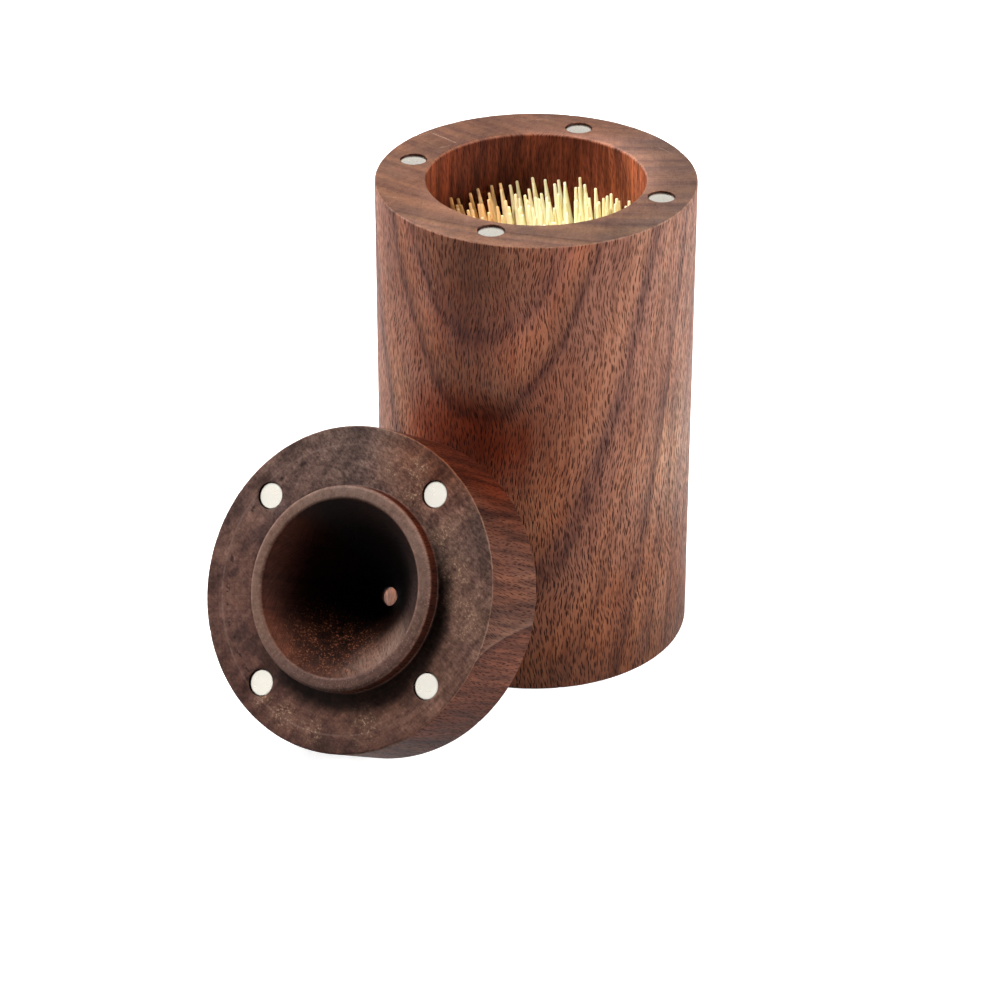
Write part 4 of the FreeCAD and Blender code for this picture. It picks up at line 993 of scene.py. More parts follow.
def lid_material():
    rings = dict(
        px=(-60.0, 10.0, 0.0), py=(-30.0, 14.0), k=(0.34, 0.0), span=(30.0, 120.0),
        levels=[(101.0, 0.9, 0.4, 1.4), (95.5, 0.7, 0.4, 1.2), (90.5, 0.9, 0.45, 1.6), (84.0, 0.6, 0.4, 1.3),
                (78.0, 0.9, 0.4, 1.5), (72.5, 0.7, 0.4, 1.2), (66.0, 0.95, 0.45, 1.6), (60.5, 0.6, 0.4, 1.2),
                (55.0, 0.9, 0.45, 1.5), (49.0, 0.75, 0.4, 1.3), (43.0, 0.9, 0.45, 1.5), (37.0, 0.7, 0.4, 1.2)])
    tune = dict(
        frame=(LID_POS, ex, ey, ez), seed=(51.0, -23.0, 14.0), quiet=16.6, wander=2.0, waver=0.9, lean=5.0,
        pore_w=0.70, pore_l=1.70, pore_r=0.115, pore_h=0.80, dense=(0.8, 1.0), end_pore=0.7,
        wood=[(0.05, lin(50, 28, 22)), (0.35, lin(74, 46, 37)), (0.55, lin(94, 62, 51)),
              (0.8, lin(118, 84, 71)), (1.0, lin(140, 104, 88))],
        blush=[(0.05, lin(54, 26, 17)), (0.35, lin(82, 46, 33)), (0.6, lin(104, 63, 47)),
               (1.0, lin(138, 94, 74))],
        end=[(0.05, lin(58, 37, 31)), (0.4, lin(92, 65, 55)), (0.65, lin(112, 81, 69)),
             (1.0, lin(142, 108, 92))],
        late=0.72, late_colour=lin(50, 34, 32), end_late=0.35, pore=0.85, pore_colour=lin(34, 18, 14))
    N, v = walnut("walnut_lid", rings, tune)
    e1 = N.math("MULTIPLY", N.fit(v["r"], BODY_R - 0.26, BODY_R - 0.06), N.fit(v["z"], -0.30, -0.08))
    e2 = N.math("MULTIPLY", N.fit(v["r"], BODY_R - 0.32, BODY_R - 0.08), N.fit(v["z"], -LID_T + 0.34, -LID_T + 0.1))
    brk, _ = N.noise(N.stretch(v["seeded"], 0.9, 0.9, 0.9), detail=4.0, rough=0.65)
    edge = N.math("MULTIPLY", N.math("MAXIMUM", e1, e2), N.fit(brk, 0.36, 0.62, 0.25, 0.95))
    colour = v["wood"]
    # which way round the lid a point lies: towards -Y, -X +Y, +X
    rr = N.math("MAXIMUM", v["r"], 1.0)
    to_low = N.math("DIVIDE", N.math("MULTIPLY_ADD", v["x"], 0.10, N.math("MULTIPLY", v["y"], -1.0)), rr)
    to_left = N.math("DIVIDE", N.math("MULTIPLY_ADD", v["x"], -0.71, N.math("MULTIPLY", v["y"], 0.71)), rr)
    # painted shade in the funnel: darker the deeper it goes, towards +X and +Y, and by the lip on the -X side; painted
    # light on its -Y side and towards -X +Y
    inner = N.math("MULTIPLY_ADD", N.fit(to_left, -0.2, 0.8), -0.55, v["r"])
    in_cone = N.math("MULTIPLY", N.fit(inner, 16.45, 15.95), N.fit(v["z"], -16.8, -16.0))
    deep = N.fit(v["z"], 2.6, -6.0)
    dark = N.mix(deep, (0.46, 0.39, 0.36, 1.0), (0.13, 0.09, 0.08, 1.0))
    dark = N.mix(N.math("MULTIPLY", N.fit(to_low, 0.50, 0.98), N.fit(v["z"], -9.0, 0.0)), dark, (1.42, 1.84, 1.98, 1.0))
    dark = N.mix(N.math("MULTIPLY", N.fit(to_left, 0.35, 0.9), N.fit(v["z"], -12.0, -2.0)), dark, N.mix(1.0, dark, (2.8, 2.5, 2.35, 1.0), "MULTIPLY"))
    dark = N.mix(N.fit(to_low, -0.1, -0.9), dark, N.mix(1.0, dark, (0.50, 0.42, 0.42, 1.0), "MULTIPLY"))
    to_right = N.math("DIVIDE", v["x"], rr)
    dark = N.mix(N.fit(to_right, 0.06, 0.52), dark, N.mix(1.0, dark, (0.15, 0.12, 0.13, 1.0), "MULTIPLY"))
    dark = N.mix(N.math("MULTIPLY", N.fit(to_right, -0.55, -0.95), N.fit(v["z"], 2.0, -1.0)), dark, N.mix(1.0, dark, (0.44, 0.47, 0.50, 1.0), "MULTIPLY"))
    colour = N.mix(in_cone, colour, N.mix(1.0, colour, dark, "MULTIPLY"))
    # end grain of the face: coarse, uneven, darker in the corner by the collar, partly dirt and partly painted shade
    seat = N.fit(v["z"], -1.2, -0.7)
    flat = N.math("MULTIPLY", N.math("MULTIPLY", v["across"], seat), N.fit(v["r"], 18.7, 19.1))
    # cut across a crotch: the fibre shows as short marks one way over the face
    grit, _ = N.noise(N.stretch(v["seeded"], 1.9, 0.9, 0.8), detail=4.0, rough=0.75)
    drift, _ = N.noise(N.stretch(v["seeded"], 0.10, 0.34, 0.2), detail=3.0, rough=0.6, distortion=0.4)
    cloud, _ = N.noise(N.stretch(v["seeded"], 0.16, 0.16, 0.16), detail=3.0, rough=0.6)
    coarse = N.fit(N.math("DIVIDE", v["x"], rr), -0.3, 0.8, 0.62, 1.25)
    shade = N.math("MULTIPLY_ADD", N.math("SUBTRACT", N.fit(grit, 0.36, 0.66, 0.66, 1.30), 1.0), coarse, 1.0)
    shade = N.math("MULTIPLY", shade, N.fit(cloud, 0.34, 0.64, 1.02, 1.34))
    # the corner by the collar is darker all round, partly dirt and partly painted shade, and much darker on the side
    # towards -Y, a painted shadow of the collar; darker again towards the outer edge
    ang = N.math("DIVIDE", N.math("MULTIPLY_ADD", v["x"], -0.25, N.math("MULTIPLY", v["y"], -1.0)), N.math("MAXIMUM", v["r"], 1.0))
    low = N.fit(ang, -0.35, 0.55)
    shade = N.math("MULTIPLY", shade, N.fit(v["r"], 19.0, 20.6, 0.72, 1.0))
    shade = N.math("MULTIPLY", shade, N.fit(N.math("MULTIPLY", low, N.fit(v["r"], 23.6, 20.4)), 0.0, 1.0, 1.0, 0.16, smooth=False))
    shade = N.math("MULTIPLY", shade, N.fit(v["r"], 27.2, 27.6, 1.0, 0.86))
    colour = N.mix(flat, colour, N.vec("SCALE", colour, scale=shade))
    tint = N.mix(N.fit(drift, 0.38, 0.62), (0.74, 0.69, 0.72, 1.0), (1.22, 1.17, 1.14, 1.0))
    colour = N.mix(flat, colour, N.mix(1.0, colour, tint, "MULTIPLY"))
    # greyer towards -X +Y, warmer towards the other side
    cool = N.mix(N.fit(to_left, -0.7, 0.9), (1.28, 1.44, 1.48, 1.0), (1.16, 1.14, 1.16, 1.0))
    colour = N.mix(flat, colour, N.mix(1.0, colour, cool, "MULTIPLY"))
    to_top = N.math("DIVIDE", N.math("MULTIPLY", N.math("ADD", v["x"], v["y"]), 0.7071), rr)
    colour = N.mix(N.math("MULTIPLY", flat, N.fit(to_top, -0.1, 0.9)), colour, N.mix(1.0, colour, (0.98, 1.18, 1.28, 1.0), "MULTIPLY"))
    colour = N.mix(N.math("MULTIPLY", flat, N.fit(to_top, -0.1, -0.9)), colour, N.mix(1.0, colour, (0.99, 0.90, 0.87, 1.0), "MULTIPLY"))
    # darker and more purple towards -X
    away = N.fit(v["x"], -9.0, -23.0, 0.0, 0.9)
    colour = N.mix(N.math("MULTIPLY", flat, away), colour, N.mix(1.0, colour, (0.68, 0.72, 0.77, 1.0), "MULTIPLY"))
    # oil soaked in unevenly on the -X +Y half: broad dark blotches with soft edges
    blot, _ = N.noise(N.stretch(v["seeded"], 0.26, 0.20, 0.2), detail=4.0, rough=0.62, distortion=0.6)
    soaked = N.math("MULTIPLY", N.fit(blot, 0.50, 0.62), N.fit(to_right, 0.35, -0.35, 0.25, 0.85))
    colour = N.mix(N.math("MULTIPLY", flat, soaked), colour, N.mix(1.0, colour, (0.60, 0.60, 0.64, 1.0), "MULTIPLY"))
    bare = N.math("MULTIPLY", N.fit(blot, 0.46, 0.36), N.fit(to_right, 0.35, -0.35, 0.2, 0.7))
    colour = N.mix(N.math("MULTIPLY", flat, bare), colour, N.mix(1.0, colour, (1.30, 1.22, 1.18, 1.0), "MULTIPLY"))
    # a light scored ring near the edge, and dark torn spots beside it
    torn, _ = N.noise(N.stretch(v["seeded"], 0.5, 0.5, 0.5), detail=3.0, rough=0.7)
    scored = N.math("MULTIPLY", N.band(v["r"], 26.55, 0.07, 0.22), N.fit(torn, 0.34, 0.60, 0.15, 0.9))
    scored = N.math("MULTIPLY", N.math("MULTIPLY", scored, flat), N.fit(to_left, -0.6, 0.4, 0.25, 1.0))
    colour = N.mix(N.math("MULTIPLY", scored, 0.55), colour, lin(142, 116, 104))
    spots = N.math("MULTIPLY", N.band(v["r"], 25.35, 0.22, 0.35), N.fit(torn, 0.54, 0.62))
    spots = N.math("MULTIPLY", N.math("MULTIPLY", spots, flat), N.fit(to_left, 0.0, 0.5))
    colour = N.mix(N.math("MULTIPLY", spots, 0.8), colour, lin(34, 24, 22))
    # the pockets' walls dark, partly glue and oil and partly painted shade in the recess
    pocket_glue_and_shade = pockets(N, v, 0.0, 0.0)
    colour = N.mix(pocket_glue_and_shade, colour, lin(30, 18, 14))
    # rings left by the turning tool
    turned, _ = N.noise(None, w=v["r"], scale=1.1, detail=3.0, rough=0.7, dims="1D")
    turned = N.math("MULTIPLY", N.fit(turned, 0.30, 0.48, 1.0, 0.0), v["across"])
    colour = N.mix(N.math("MULTIPLY", turned, 0.35), colour, N.mix(1.0, colour, (0.55, 0.52, 0.52, 1.0), "MULTIPLY"))
    # a light line along the outer edges, partly wear and partly painted highlight
    colour = N.mix(N.math("MULTIPLY", edge, 0.6), colour, lin(176, 140, 120))
    # the lip's crest is lighter, partly wear and partly painted highlight, most on the side away from -Y
    lip = N.math("MULTIPLY", N.fit(v["z"], SPIGOT_H - 0.9, SPIGOT_H - 0.1), N.fit(brk, 0.3, 0.6, 0.35, 1.0))
    lip = N.math("MULTIPLY", lip, N.fit(to_low, 0.9, -0.1, 0.12, 0.42))
    lip = N.math("MULTIPLY", lip, N.fit(v["r"], 16.25, 16.55))
    colour = N.mix(lip, colour, lin(160, 128, 112))
    # the lip a little greyer towards +X
    upper = N.math("MULTIPLY", N.math("MULTIPLY", N.fit(v["z"], SPIGOT_H - 0.9, SPIGOT_H - 0.3), N.fit(v["r"], 16.2, 16.5)), N.fit(to_right, -0.1, 0.7))
    colour = N.mix(upper, colour, N.mix(1.0, colour, (1.08, 1.17, 1.24, 1.0), "MULTIPLY"))
    # painted shade on the lip towards -X -Y
    lower = N.math("MULTIPLY", N.math("MULTIPLY", N.fit(v["z"], SPIGOT_H - 0.9, SPIGOT_H - 0.3), N.fit(v["r"], 16.2, 16.5)), N.fit(to_top, -0.35, -0.85))
    colour = N.mix(lower, colour, N.mix(1.0, colour, (0.76, 0.76, 0.82, 1.0), "MULTIPLY"))
    nick, _ = N.noise(N.stretch(v["seeded"], 2.4, 2.4, 2.4), detail=2.0, rough=0.7)
    nick = N.math("MULTIPLY", N.fit(v["z"], SPIGOT_H - 1.0, SPIGOT_H - 0.3), N.fit(nick, 0.56, 0.66))
    nick = N.math("MULTIPLY", nick, N.fit(v["r"], 16.2, 16.5))
    colour = N.mix(N.math("MULTIPLY", nick, 0.30), colour, lin(176, 140, 118))
    flank = N.math("MULTIPLY", N.fit(v["r"], BODY_R - 0.5, BODY_R - 0.2), N.fit(v["across"], 0.6, 0.2))
    long_streak, _ = N.noise(N.stretch(v["seeded"], 0.85, 0.85, 0.05), detail=3.0, rough=0.65)
    streaks = N.mix(N.fit(long_streak, 0.34, 0.64), (0.46, 0.38, 0.34, 1.0), (1.16, 1.06, 0.96, 1.0))
    colour = N.mix(flank, colour, N.mix(1.0, colour, streaks, "MULTIPLY"))
    # painted shade with reddish light thrown from the cup, on the flank towards +X
    spot = N.vec("DISTANCE", v["P"], (29.0, 4.0, -9.0))
    colour = N.mix(N.fit(spot, 20.0, 7.0, 0.0, 0.85), colour, N.mix(1.0, colour, (0.74, 0.31, 0.15, 1.0), "MULTIPLY"))
    # the collar's outer wall is redder and darker, with painted shade on its -Y side; the flank's lower part is darker,
    # painted shade where it faces down
    collar = N.math("MULTIPLY", N.fit(v["r"], SPIGOT_R - 0.35, SPIGOT_R - 0.1), N.fit(v["r"], SPIGOT_R + 0.5, SPIGOT_R + 0.3))
    collar = N.math("MULTIPLY", collar, N.math("MULTIPLY", N.fit(v["z"], 0.15, 0.4), N.fit(v["z"], SPIGOT_H - 0.3, SPIGOT_H - 0.8)))
    colour = N.mix(collar, colour, N.mix(1.0, colour, (0.52, 0.26, 0.17, 1.0), "MULTIPLY"))
    colour = N.mix(N.math("MULTIPLY", collar, N.fit(to_low, 0.3, 0.9)), colour, N.mix(1.0, colour, (0.40, 0.44, 0.48, 1.0), "MULTIPLY"))
    spot = N.vec("DISTANCE", v["P"], (-10.0, -28.5, -9.0))
    colour = N.mix(N.math("MULTIPLY", flank, N.fit(spot, 20.0, 8.0, 0.0, 0.9)), colour, N.mix(1.0, colour, (0.60, 0.50, 0.48, 1.0), "MULTIPLY"))
    # a growth line crosses the flank, redder below it than above
    around = N.math("MULTIPLY", N.math("ARCTAN2", v["y"], v["x"]), BODY_R)
    bend = N.math("SQRT", N.math("MAXIMUM", N.math("MULTIPLY", v["z"], -1.0 / LID_T), 0.0))
    past = N.math("SUBTRACT", around, N.math("MULTIPLY_ADD", bend, 9.1, -37.7))
    line = N.math("MULTIPLY", N.fit(past, -2.2, -0.1), N.fit(past, 0.25, -0.05))
    colour = N.mix(N.math("MULTIPLY", N.math("MULTIPLY", line, flank), 0.8), colour, N.mix(1.0, colour, (0.42, 0.36, 0.36, 1.0), "MULTIPLY"))
    paler = N.math("MULTIPLY", N.fit(past, 0.0, 0.3), N.fit(past, 1.9, 0.4))
    colour = N.mix(N.math("MULTIPLY", N.math("MULTIPLY", paler, flank), 0.22), colour, lin(150, 108, 90))
    below = N.math("MULTIPLY", N.math("MULTIPLY", N.fit(past, 0.1, -0.5), N.fit(past, -26.0, -10.0)), flank)
    colour = N.mix(below, colour, N.mix(1.0, colour, (1.16, 0.98, 0.90, 1.0), "MULTIPLY"))
    above = N.math("MULTIPLY", N.math("MULTIPLY", N.fit(past, 0.0, 0.4), N.fit(past, 14.0, 5.0)), flank)
    colour = N.mix(above, colour, N.mix(1.0, colour, (1.02, 1.12, 1.16, 1.0), "MULTIPLY"))
    # rubbed patches with light flecks left in the end grain's pores; the patches are also lighter, partly rubbed wood
    # and partly painted light
    patches = None
    for px, py, pr in ((21.8, 9.9, 3.4), (25.2, 6.0, 3.0), (21.7, 3.0, 3.2), (21.1, -6.9, 3.2),
                       (18.6, -13.9, 3.6), (14.7, -18.5, 3.6), (13.3, -22.3, 3.6),
                       (-24.7, -7.9, 3.6), (-22.3, -13.7, 3.4), (-26.0, -2.9, 2.4), (-13.7, -21.0, 4.2)):
        d = N.vec("DISTANCE", v["P"], (px, py, 0.0))
        s = N.fit(d, 0.0, pr * 1.25, 1.0, 0.0)
        patches = s if patches is None else N.math("MAXIMUM", patches, s)
    fleck_n, _ = N.noise(N.stretch(v["seeded"], 0.55, 0.55, 0.55), detail=3.0, rough=0.7)
    patch = N.math("MULTIPLY", patches, N.fit(fleck_n, 0.36, 0.56))
    fine_n, _ = N.noise(N.stretch(v["seeded"], 2.9, 2.2, 2.4), detail=2.0, rough=0.7)
    fleck = N.fit(fine_n, 0.54, 0.66)
    face = N.math("MULTIPLY", N.fit(v["nz"], 0.8, 0.95), N.fit(N.math("ABSOLUTE", v["z"]), 0.2, 0.5, 1.0, 0.0))
    speck = N.math("MULTIPLY", N.math("MULTIPLY", patch, fleck), face)
    glow = N.math("MULTIPLY", N.math("MULTIPLY", patch, face), 0.45)
    # the same flecks, fainter, inside the funnel
    fn, _ = N.noise(N.stretch(v["seeded"], 0.12, 0.12, 0.12), detail=2.0)
    low_left = N.fit(N.vec("DISTANCE", v["P"], (-10.5, -4.0, -3.0)), 13.0, 4.0)
    bottom = N.fit(N.vec("DISTANCE", v["P"], (-7.5, -9.5, -1.0)), 10.0, 3.0)
    where = N.math("MAXIMUM", low_left, bottom)
    cone = N.math("MULTIPLY", N.math("MULTIPLY", in_cone, fleck), N.math("MULTIPLY", where, N.fit(fleck_n, 0.36, 0.56, 0.05, 0.5)))
    haze = N.math("MULTIPLY", N.math("MULTIPLY", in_cone, where), N.fit(fleck_n, 0.36, 0.60, 0.0, 0.08))
    colour = N.mix(haze, colour, lin(128, 66, 40))
    colour = N.mix(cone, colour, lin(168, 104, 72))
    colour = N.mix(glow, colour, lin(142, 106, 88))
    colour = N.mix(N.math("MULTIPLY", speck, 0.72), colour, lin(222, 178, 144))
    rough = N.math("MULTIPLY_ADD", v["fib"], 0.16, 0.46)
    rough = N.math("MULTIPLY_ADD", v["pore"], 0.25, rough)
    lathe, _ = N.noise(None, w=v["r"], scale=2.4, detail=3.0, rough=0.65, dims="1D")
    marks = N.math("MULTIPLY", N.math("MULTIPLY", lathe, v["across"]), 0.9)
    rough = N.math("ADD", rough, N.math("MULTIPLY", N.math("MULTIPLY", in_cone, deep), 0.42))
    return finish_wood(N, v, colour, rough, 0.08, marks)


def magnet_material(name, seed):
    """Nickel plate: soft circular brushing, faint haze and small scuffs."""
    N = Tree(name)
    P = N.vec("SCALE", N.tc.outputs["Object"], scale=1000.0)
    x, y, z = N.split(P)
    r = N.math("SQRT", N.math("ADD", N.math("MULTIPLY", x, x), N.math("MULTIPLY", y, y)))
    S = N.vec("ADD", P, seed)
    haze, _ = N.noise(N.stretch(S, 0.55, 0.55, 0.55), detail=4.0, rough=0.6)
    fine, _ = N.noise(N.stretch(S, 7.0, 1.3, 4.0), detail=3.0, rough=0.6)
    turn, _ = N.noise(None, w=r, scale=9.0, detail=2.0, dims="1D")
    spot_d, spot_c, _ = N.cells(N.stretch(S, 1.3, 1.3, 1.3))
    spot = N.math("MULTIPLY", N.fit(spot_d, 0.05, 0.16, 1.0, 0.0), N.fit(N.split(spot_c)[0], 0.55, 0.8))
    tone = N.math("MULTIPLY_ADD", N.math("SUBTRACT", haze, 0.5), 0.4, 0.55)
    tone = N.math("MULTIPLY_ADD", N.math("SUBTRACT", fine, 0.5), 0.10, tone)
    col = N.ramp(tone, [(0.1, lin(206, 198, 186)), (0.5, lin(232, 226, 214)), (0.9, lin(244, 241, 233))])
    rim = N.fit(r, 2.26, 2.46)
    col = N.mix(N.math("MULTIPLY", rim, 0.5), col, lin(150, 138, 122))
    col = N.mix(N.math("MULTIPLY", spot, 0.10), col, lin(190, 178, 162))
    N.put(N.bsdf.inputs["Base Color"], col)
    N.bsdf.inputs["Metallic"].default_value = 1.0
    rough = N.math("MULTIPLY_ADD", haze, 0.08, 0.24)
    N.put(N.bsdf.inputs["Roughness"], rough)
    h = N.math("MULTIPLY_ADD", fine, 0.6, N.math("MULTIPLY", turn, 0.5))
    N.put(N.bsdf.inputs["Normal"], N.bump(h, 0.000002, 0.06))
    return N.mat


def pick_material():
    """Pale birch: cream to straw, long fibre, darker streaks, whiter cut tips."""
    N = Tree("birch")
    def attribute(label):
        n = N.t.nodes.new("ShaderNodeAttribute")
        n.attribute_name = label
        return n
    P = attribute("grain").outputs["Vector"]
    tone = attribute("tone").outputs["Fac"]
    end = attribute("end").outputs["Fac"]
    fib, _ = N.noise(N.stretch(P, 3.4, 3.4, 0.22), detail=3.0, rough=0.6)
    long_, _ = N.noise(N.stretch(P, 0.9, 0.9, 0.05), detail=2.0, rough=0.5)
    k = N.math("MULTIPLY_ADD", N.math("SUBTRACT", fib, 0.5), 0.55, 0.5)
    k = N.math("MULTIPLY_ADD", N.math("SUBTRACT", long_, 0.5), 0.6, k)
    k = N.math("MULTIPLY_ADD", N.math("SUBTRACT", tone, 0.5), 0.42, k)
    col = N.ramp(k, [(0.05, lin(238, 220, 166)), (0.35, lin(247, 240, 204)), (0.6, lin(250, 248, 224)),
                     (0.9, lin(252, 252, 238))])
    streak = N.fit(N.noise(N.stretch(P, 1.6, 1.6, 0.10), detail=2.0)[0], 0.62, 0.72)
    col = N.mix(N.math("MULTIPLY", streak, 0.3), col, lin(228, 186, 118))
    tip = N.fit(end, 0.5, 0.0)
    col = N.mix(N.math("MULTIPLY", tip, 0.55), col, lin(246, 238, 216))
    # painted shade: picks darker and more orange on the -X side, where the rim shades them, and some more so than
    # others as their tone varies
    px = N.split(N.vec("SCALE", N.tc.outputs["Object"], scale=1000.0))[0]
    orange_shade_and_tone = N.math("ADD", N.fit(px, 3.0, -12.0), N.math("MULTIPLY", tone, 0.6))
    orange_shade_and_tone = N.fit(orange_shade_and_tone, 0.55, 1.15, 0.0, 0.8)
    col = N.mix(orange_shade_and_tone, col, N.mix(1.0, col, (1.0, 0.70, 0.40, 1.0), "MULTIPLY"))
    N.put(N.bsdf.inputs["Base Color"], col)
    N.put(N.bsdf.inputs["Roughness"], N.math("MULTIPLY_ADD", fib, 0.2, 0.5))
    N.bsdf.inputs["Specular IOR Level"].default_value = 0.3
    N.put(N.bsdf.inputs["Normal"], N.bump(fib, 0.00006, 0.5))
    # thin pale wood lets some light through, yellower than it came
    through = N.t.nodes.new("ShaderNodeBsdfTranslucent")
    N.put(through.inputs[0], N.mix(1.0, col, (1.0, 0.98, 0.82, 1.0), "MULTIPLY"))
    both = N.t.nodes.new("ShaderNodeMixShader")
    both.inputs[0].default_value = 0.5
    N.t.links.new(N.bsdf.outputs[0], both.inputs[1])
    N.t.links.new(through.outputs[0], both.inputs[2])
    N.t.links.new(both.outputs[0], N.out.inputs[0])
    return N.mat


def paper(name, grey, glow):
    """Matt paper. The sweep the object is seen on glows a little by itself, as a
    lit one does."""
    N = Tree(name)
    n, _ = N.noise(N.tc.outputs["Object"], scale=3.0, detail=2.0)
    col = N.ramp(n, [(0.3, grey - 0.01), (0.7, grey + 0.01)])
    N.put(N.bsdf.inputs["Base Color"], col)
    N.bsdf.inputs["Roughness"].default_value = 0.9
    N.bsdf.inputs["Specular IOR Level"].default_value = 0.0
    if glow:
        N.bsdf.inputs["Emission Color"].default_value = (1.0, 1.0, 1.0, 1.0)
        N.bsdf.inputs["Emission Strength"].default_value = glow
    return N.mat


# ------------------------------------------------------------------- build

# the lid's own X, Y and Z where it is stored
ez = Vector(LID_FACES).normalized()
ex = Vector(LID_MAGNET_DIR)
ex = (ex - ez * ex.dot(ez)).normalized()
ey = ez.cross(ex)
stored = Matrix(((ex.x, ey.x, ez.x, LID_POS[0] * MM),
                 (ex.y, ey.y, ez.y, LID_POS[1] * MM),
                 (ex.z, ey.z, ez.z, LID_POS[2] * MM),
                 (0, 0, 0, 1)))

walnut_cup = cup_material()
walnut_lid = lid_material()
birch = pick_material()

def place(obj, matrix, body, slot, *nodes):
    obj.matrix_world = matrix
    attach(obj, body)
    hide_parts(*nodes)
    return obj


casing = casing_mesh()
casing.data.materials.clear()
casing.data.materials.append(walnut_cup)
place(casing, Matrix.Identity(4), "cup", "walnut_cup", "casing")

lid = lid_mesh()
lid.data.materials.clear()
lid.data.materials.append(walnut_lid)
lid.data.transform(stored)
place(lid, Matrix.Identity(4), "lid", "walnut_lid", "lid")

for k in range(4):
    a = math.radians(CASING_MAGNET_AZ + 90.0 * k)
    m = magnet_mesh("casing_disc_%d" % (k + 1), 20 + k)
    m.data.materials.append(magnet_material("nickel_cup_%d" % (k + 1), (13.0 * k, 5.0, 2.0)))
    at = Matrix.Translation((MAGNET_CIRCLE_R * math.cos(a) * MM, MAGNET_CIRCLE_R * math.sin(a) * MM,
                             (CASING_H - MAGNET_RECESS - MAGNET_T) * MM))
    place(m, at @ Matrix.Rotation(0.7 * k + 0.3, 4, "Z"), "cup", "magnet", "casing_magnet_%d" % (k + 1))
    a = math.radians(90.0 * k)
    m = magnet_mesh("lid_disc_%d" % (k + 1), 40 + k)
    m.data.materials.append(magnet_material("nickel_lid_%d" % (k + 1), (7.0, 11.0 * k, 4.0)))
    at = Matrix.Translation((MAGNET_CIRCLE_R * math.cos(a) * MM, MAGNET_CIRCLE_R * math.sin(a) * MM,
                             (-MAGNET_RECESS - MAGNET_T) * MM))
    place(m, stored @ at @ Matrix.Rotation(1.1 * k, 4, "Z"), "lid", "magnet", "lid_magnet_%d" % (k + 1))

for i, (node, table) in enumerate(PICKS.items()):
    group = pick_mesh(node + "_wood", table, 100 + i)
    group.data.materials.append(birch)
    place(group, Matrix.Identity(4), "bundle", "toothpick", node)
centre = pick_mesh("toothpick_centre_wood", [(0.0, 0.0, 0.0, 0.0, 0.6)], 300)
centre.data.materials.append(birch)
place(centre, Matrix.Identity(4), "single_toothpick", "toothpick", "toothpick_centre")


# ------------------------------------------------------------------- stage

def staged(name, verts, faces, material):
    mesh = bpy.data.meshes.new(name)
    mesh.from_pydata(verts, [], faces)
    mesh.materials.append(material)
    obj = bpy.data.objects.new(name, mesh)
    bpy.context.scene.collection.objects.link(obj)
    return obj


def plate(name, half, z, material):
    return staged(name, [(-half, -half, z), (half, -half, z), (half, half, z), (-half, half, z)],
                  [(0, 1, 2, 3)], material)


# the pale floor that is seen, and the small table under the object that throws
# light back: further off a studio table ends and the room is dark
seen = plate("floor", 5.0, -0.00005, paper("floor_paper", 0.90, 0.80))
seen.visible_diffuse = False
seen.visible_transmission = False
table = plate("floor_near", 0.50, -0.0001, paper("table_paper", 0.24, 0.0))
table.visible_camera = False
table.visible_glossy = False


# a round wall far behind, seen only by the camera when it looks low
ring = [(4.8 * math.cos(2 * math.pi * i / 96), 4.8 * math.sin(2 * math.pi * i / 96)) for i in range(96)]
wall = staged("wall", [(x, y, -0.01) for x, y in ring] + [(x, y, 7.0) for x, y in ring],
              [(i, (i + 1) % 96, 96 + (i + 1) % 96, 96 + i) for i in range(96)],
              paper("wall_paper", 0.90, 0.80))
wall.visible_diffuse = False
wall.visible_glossy = False
wall.visible_transmission = False
wall.visible_shadow = False


def softbox(name, towards, distance, size, power, aim=(0.0, -0.01, 0.05)):
    """Rectangular light standing off in the direction given."""
    light = bpy.data.lights.new(name, "AREA")
    light.shape = "RECTANGLE"
    light.size, light.size_y = size
    light.energy = power
    obj = bpy.data.objects.new(name, light)
    bpy.context.scene.collection.objects.link(obj)
    at = Vector(aim) + Vector(towards).normalized() * distance
    obj.location = at
    obj.rotation_euler = (Vector(aim) - at).to_track_quat("-Z", "Y").to_euler()
    obj.visible_camera = False
    return obj


softbox("key", (-0.58, 0.26, 0.77), 1.3, (0.50, 0.50), 24.0)
softbox("left", (-0.93, 0.32, 0.14), 1.0, (0.34, 0.28), 4.6)
softbox("right", (0.90, -0.41, 0.27), 0.8, (0.38, 0.32), 9.6, aim=(0.0, -0.01, 0.06))
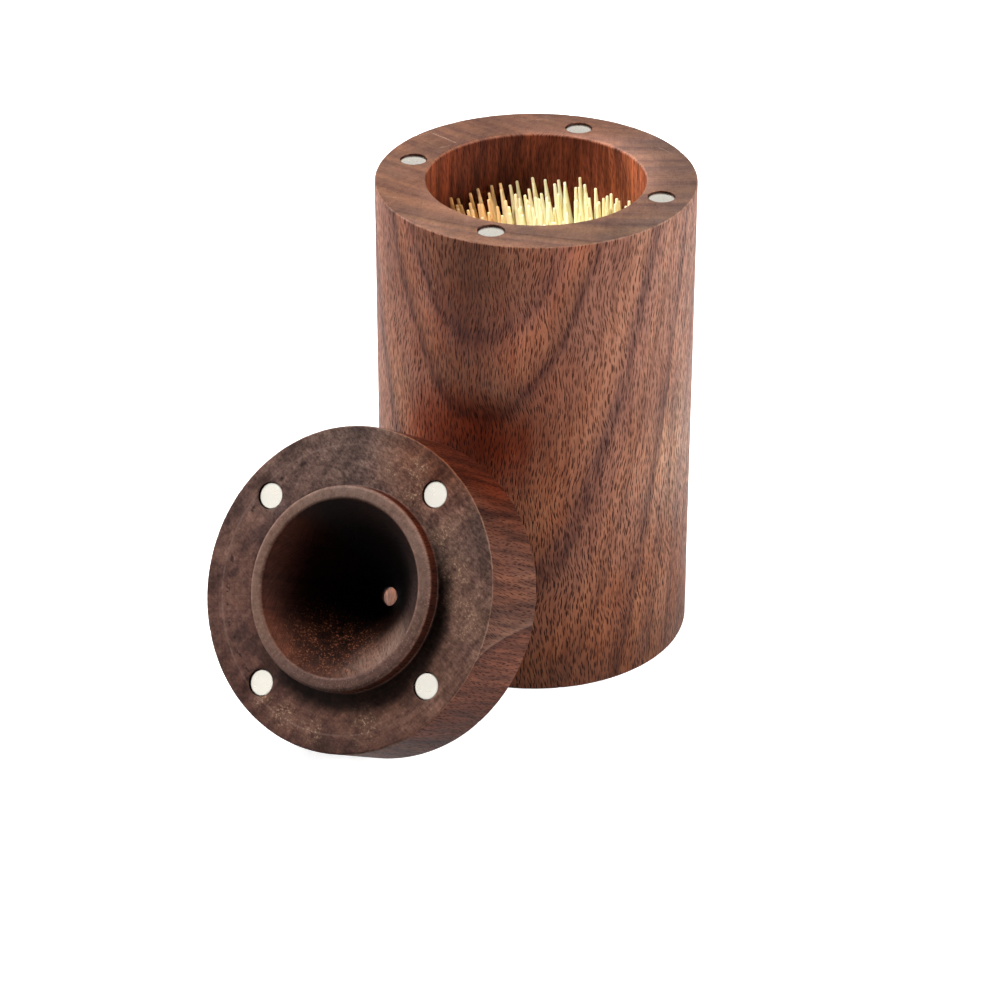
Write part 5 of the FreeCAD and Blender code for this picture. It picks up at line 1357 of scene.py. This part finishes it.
# two white cards that only the magnets and the polish pick up
for card in (softbox("card_front", (-0.84, -0.38, 0.38), 1.2, (0.44, 0.44), 0.92, aim=(-0.034, -0.05, 0.034)),
             softbox("card_back", (0.0, 0.86, 0.51), 1.2, (0.60, 0.45), 0.88, aim=(0.0, 0.0, 0.093))):
    card.visible_diffuse = False

# a snoot from the left fills the cup's mouth, where the toothpicks stand deep
snoot = bpy.data.lights.new("snoot", "SPOT")
snoot.energy = 74.0
snoot.spot_size = 0.041
snoot.spot_blend = 0.35
snoot.shadow_soft_size = 0.003
snoot_at = bpy.data.objects.new("snoot", snoot)
bpy.context.scene.collection.objects.link(snoot_at)
mouth = Vector((0.0015, 0.0, 0.0936))
snoot_at.location = mouth + Vector((-0.40, -0.36, 0.84)).normalized()
snoot_at.rotation_euler = (mouth - snoot_at.location).to_track_quat("-Z", "Y").to_euler()
snoot_at.visible_camera = False

world = bpy.data.worlds.new("studio")
world.use_nodes = True
world.node_tree.nodes["Background"].inputs[0].default_value = (1, 1, 1, 1)
world.node_tree.nodes["Background"].inputs[1].default_value = 0.015
bpy.context.scene.world = world

scene = bpy.context.scene
scene.view_settings.view_transform = "Standard"
scene.view_settings.look = "None"
scene.view_settings.exposure = 0.0
scene.view_settings.gamma = 1.0

# camera at the photograph's place: position, heading, pitch and a small roll
yaw, pitch, roll = -0.0111, 0.5171, -0.0011
fwd = Vector((math.sin(yaw) * math.cos(pitch), math.cos(yaw) * math.cos(pitch), -math.sin(pitch)))
right = Vector((math.cos(yaw), -math.sin(yaw), 0.0))
down = fwd.cross(right)
cam_x = right * math.cos(roll) + down * math.sin(roll)
cam_y = -(down * math.cos(roll) - right * math.sin(roll))
cam_z = -fwd
cam_data = bpy.data.cameras.new("camera")
cam_data.lens = 127.17
cam_data.sensor_width = 36.0
cam_data.sensor_fit = "HORIZONTAL"
cam_data.clip_start = 0.01
cam_data.clip_end = 20.0
camera = bpy.data.objects.new("camera", cam_data)
scene.collection.objects.link(camera)
camera.matrix_world = Matrix(((cam_x.x, cam_y.x, cam_z.x, 0.0),
                              (cam_x.y, cam_y.y, cam_z.y, -0.59927),
                              (cam_x.z, cam_y.z, cam_z.z, 0.36554),
                              (0, 0, 0, 1)))
scene.camera = camera
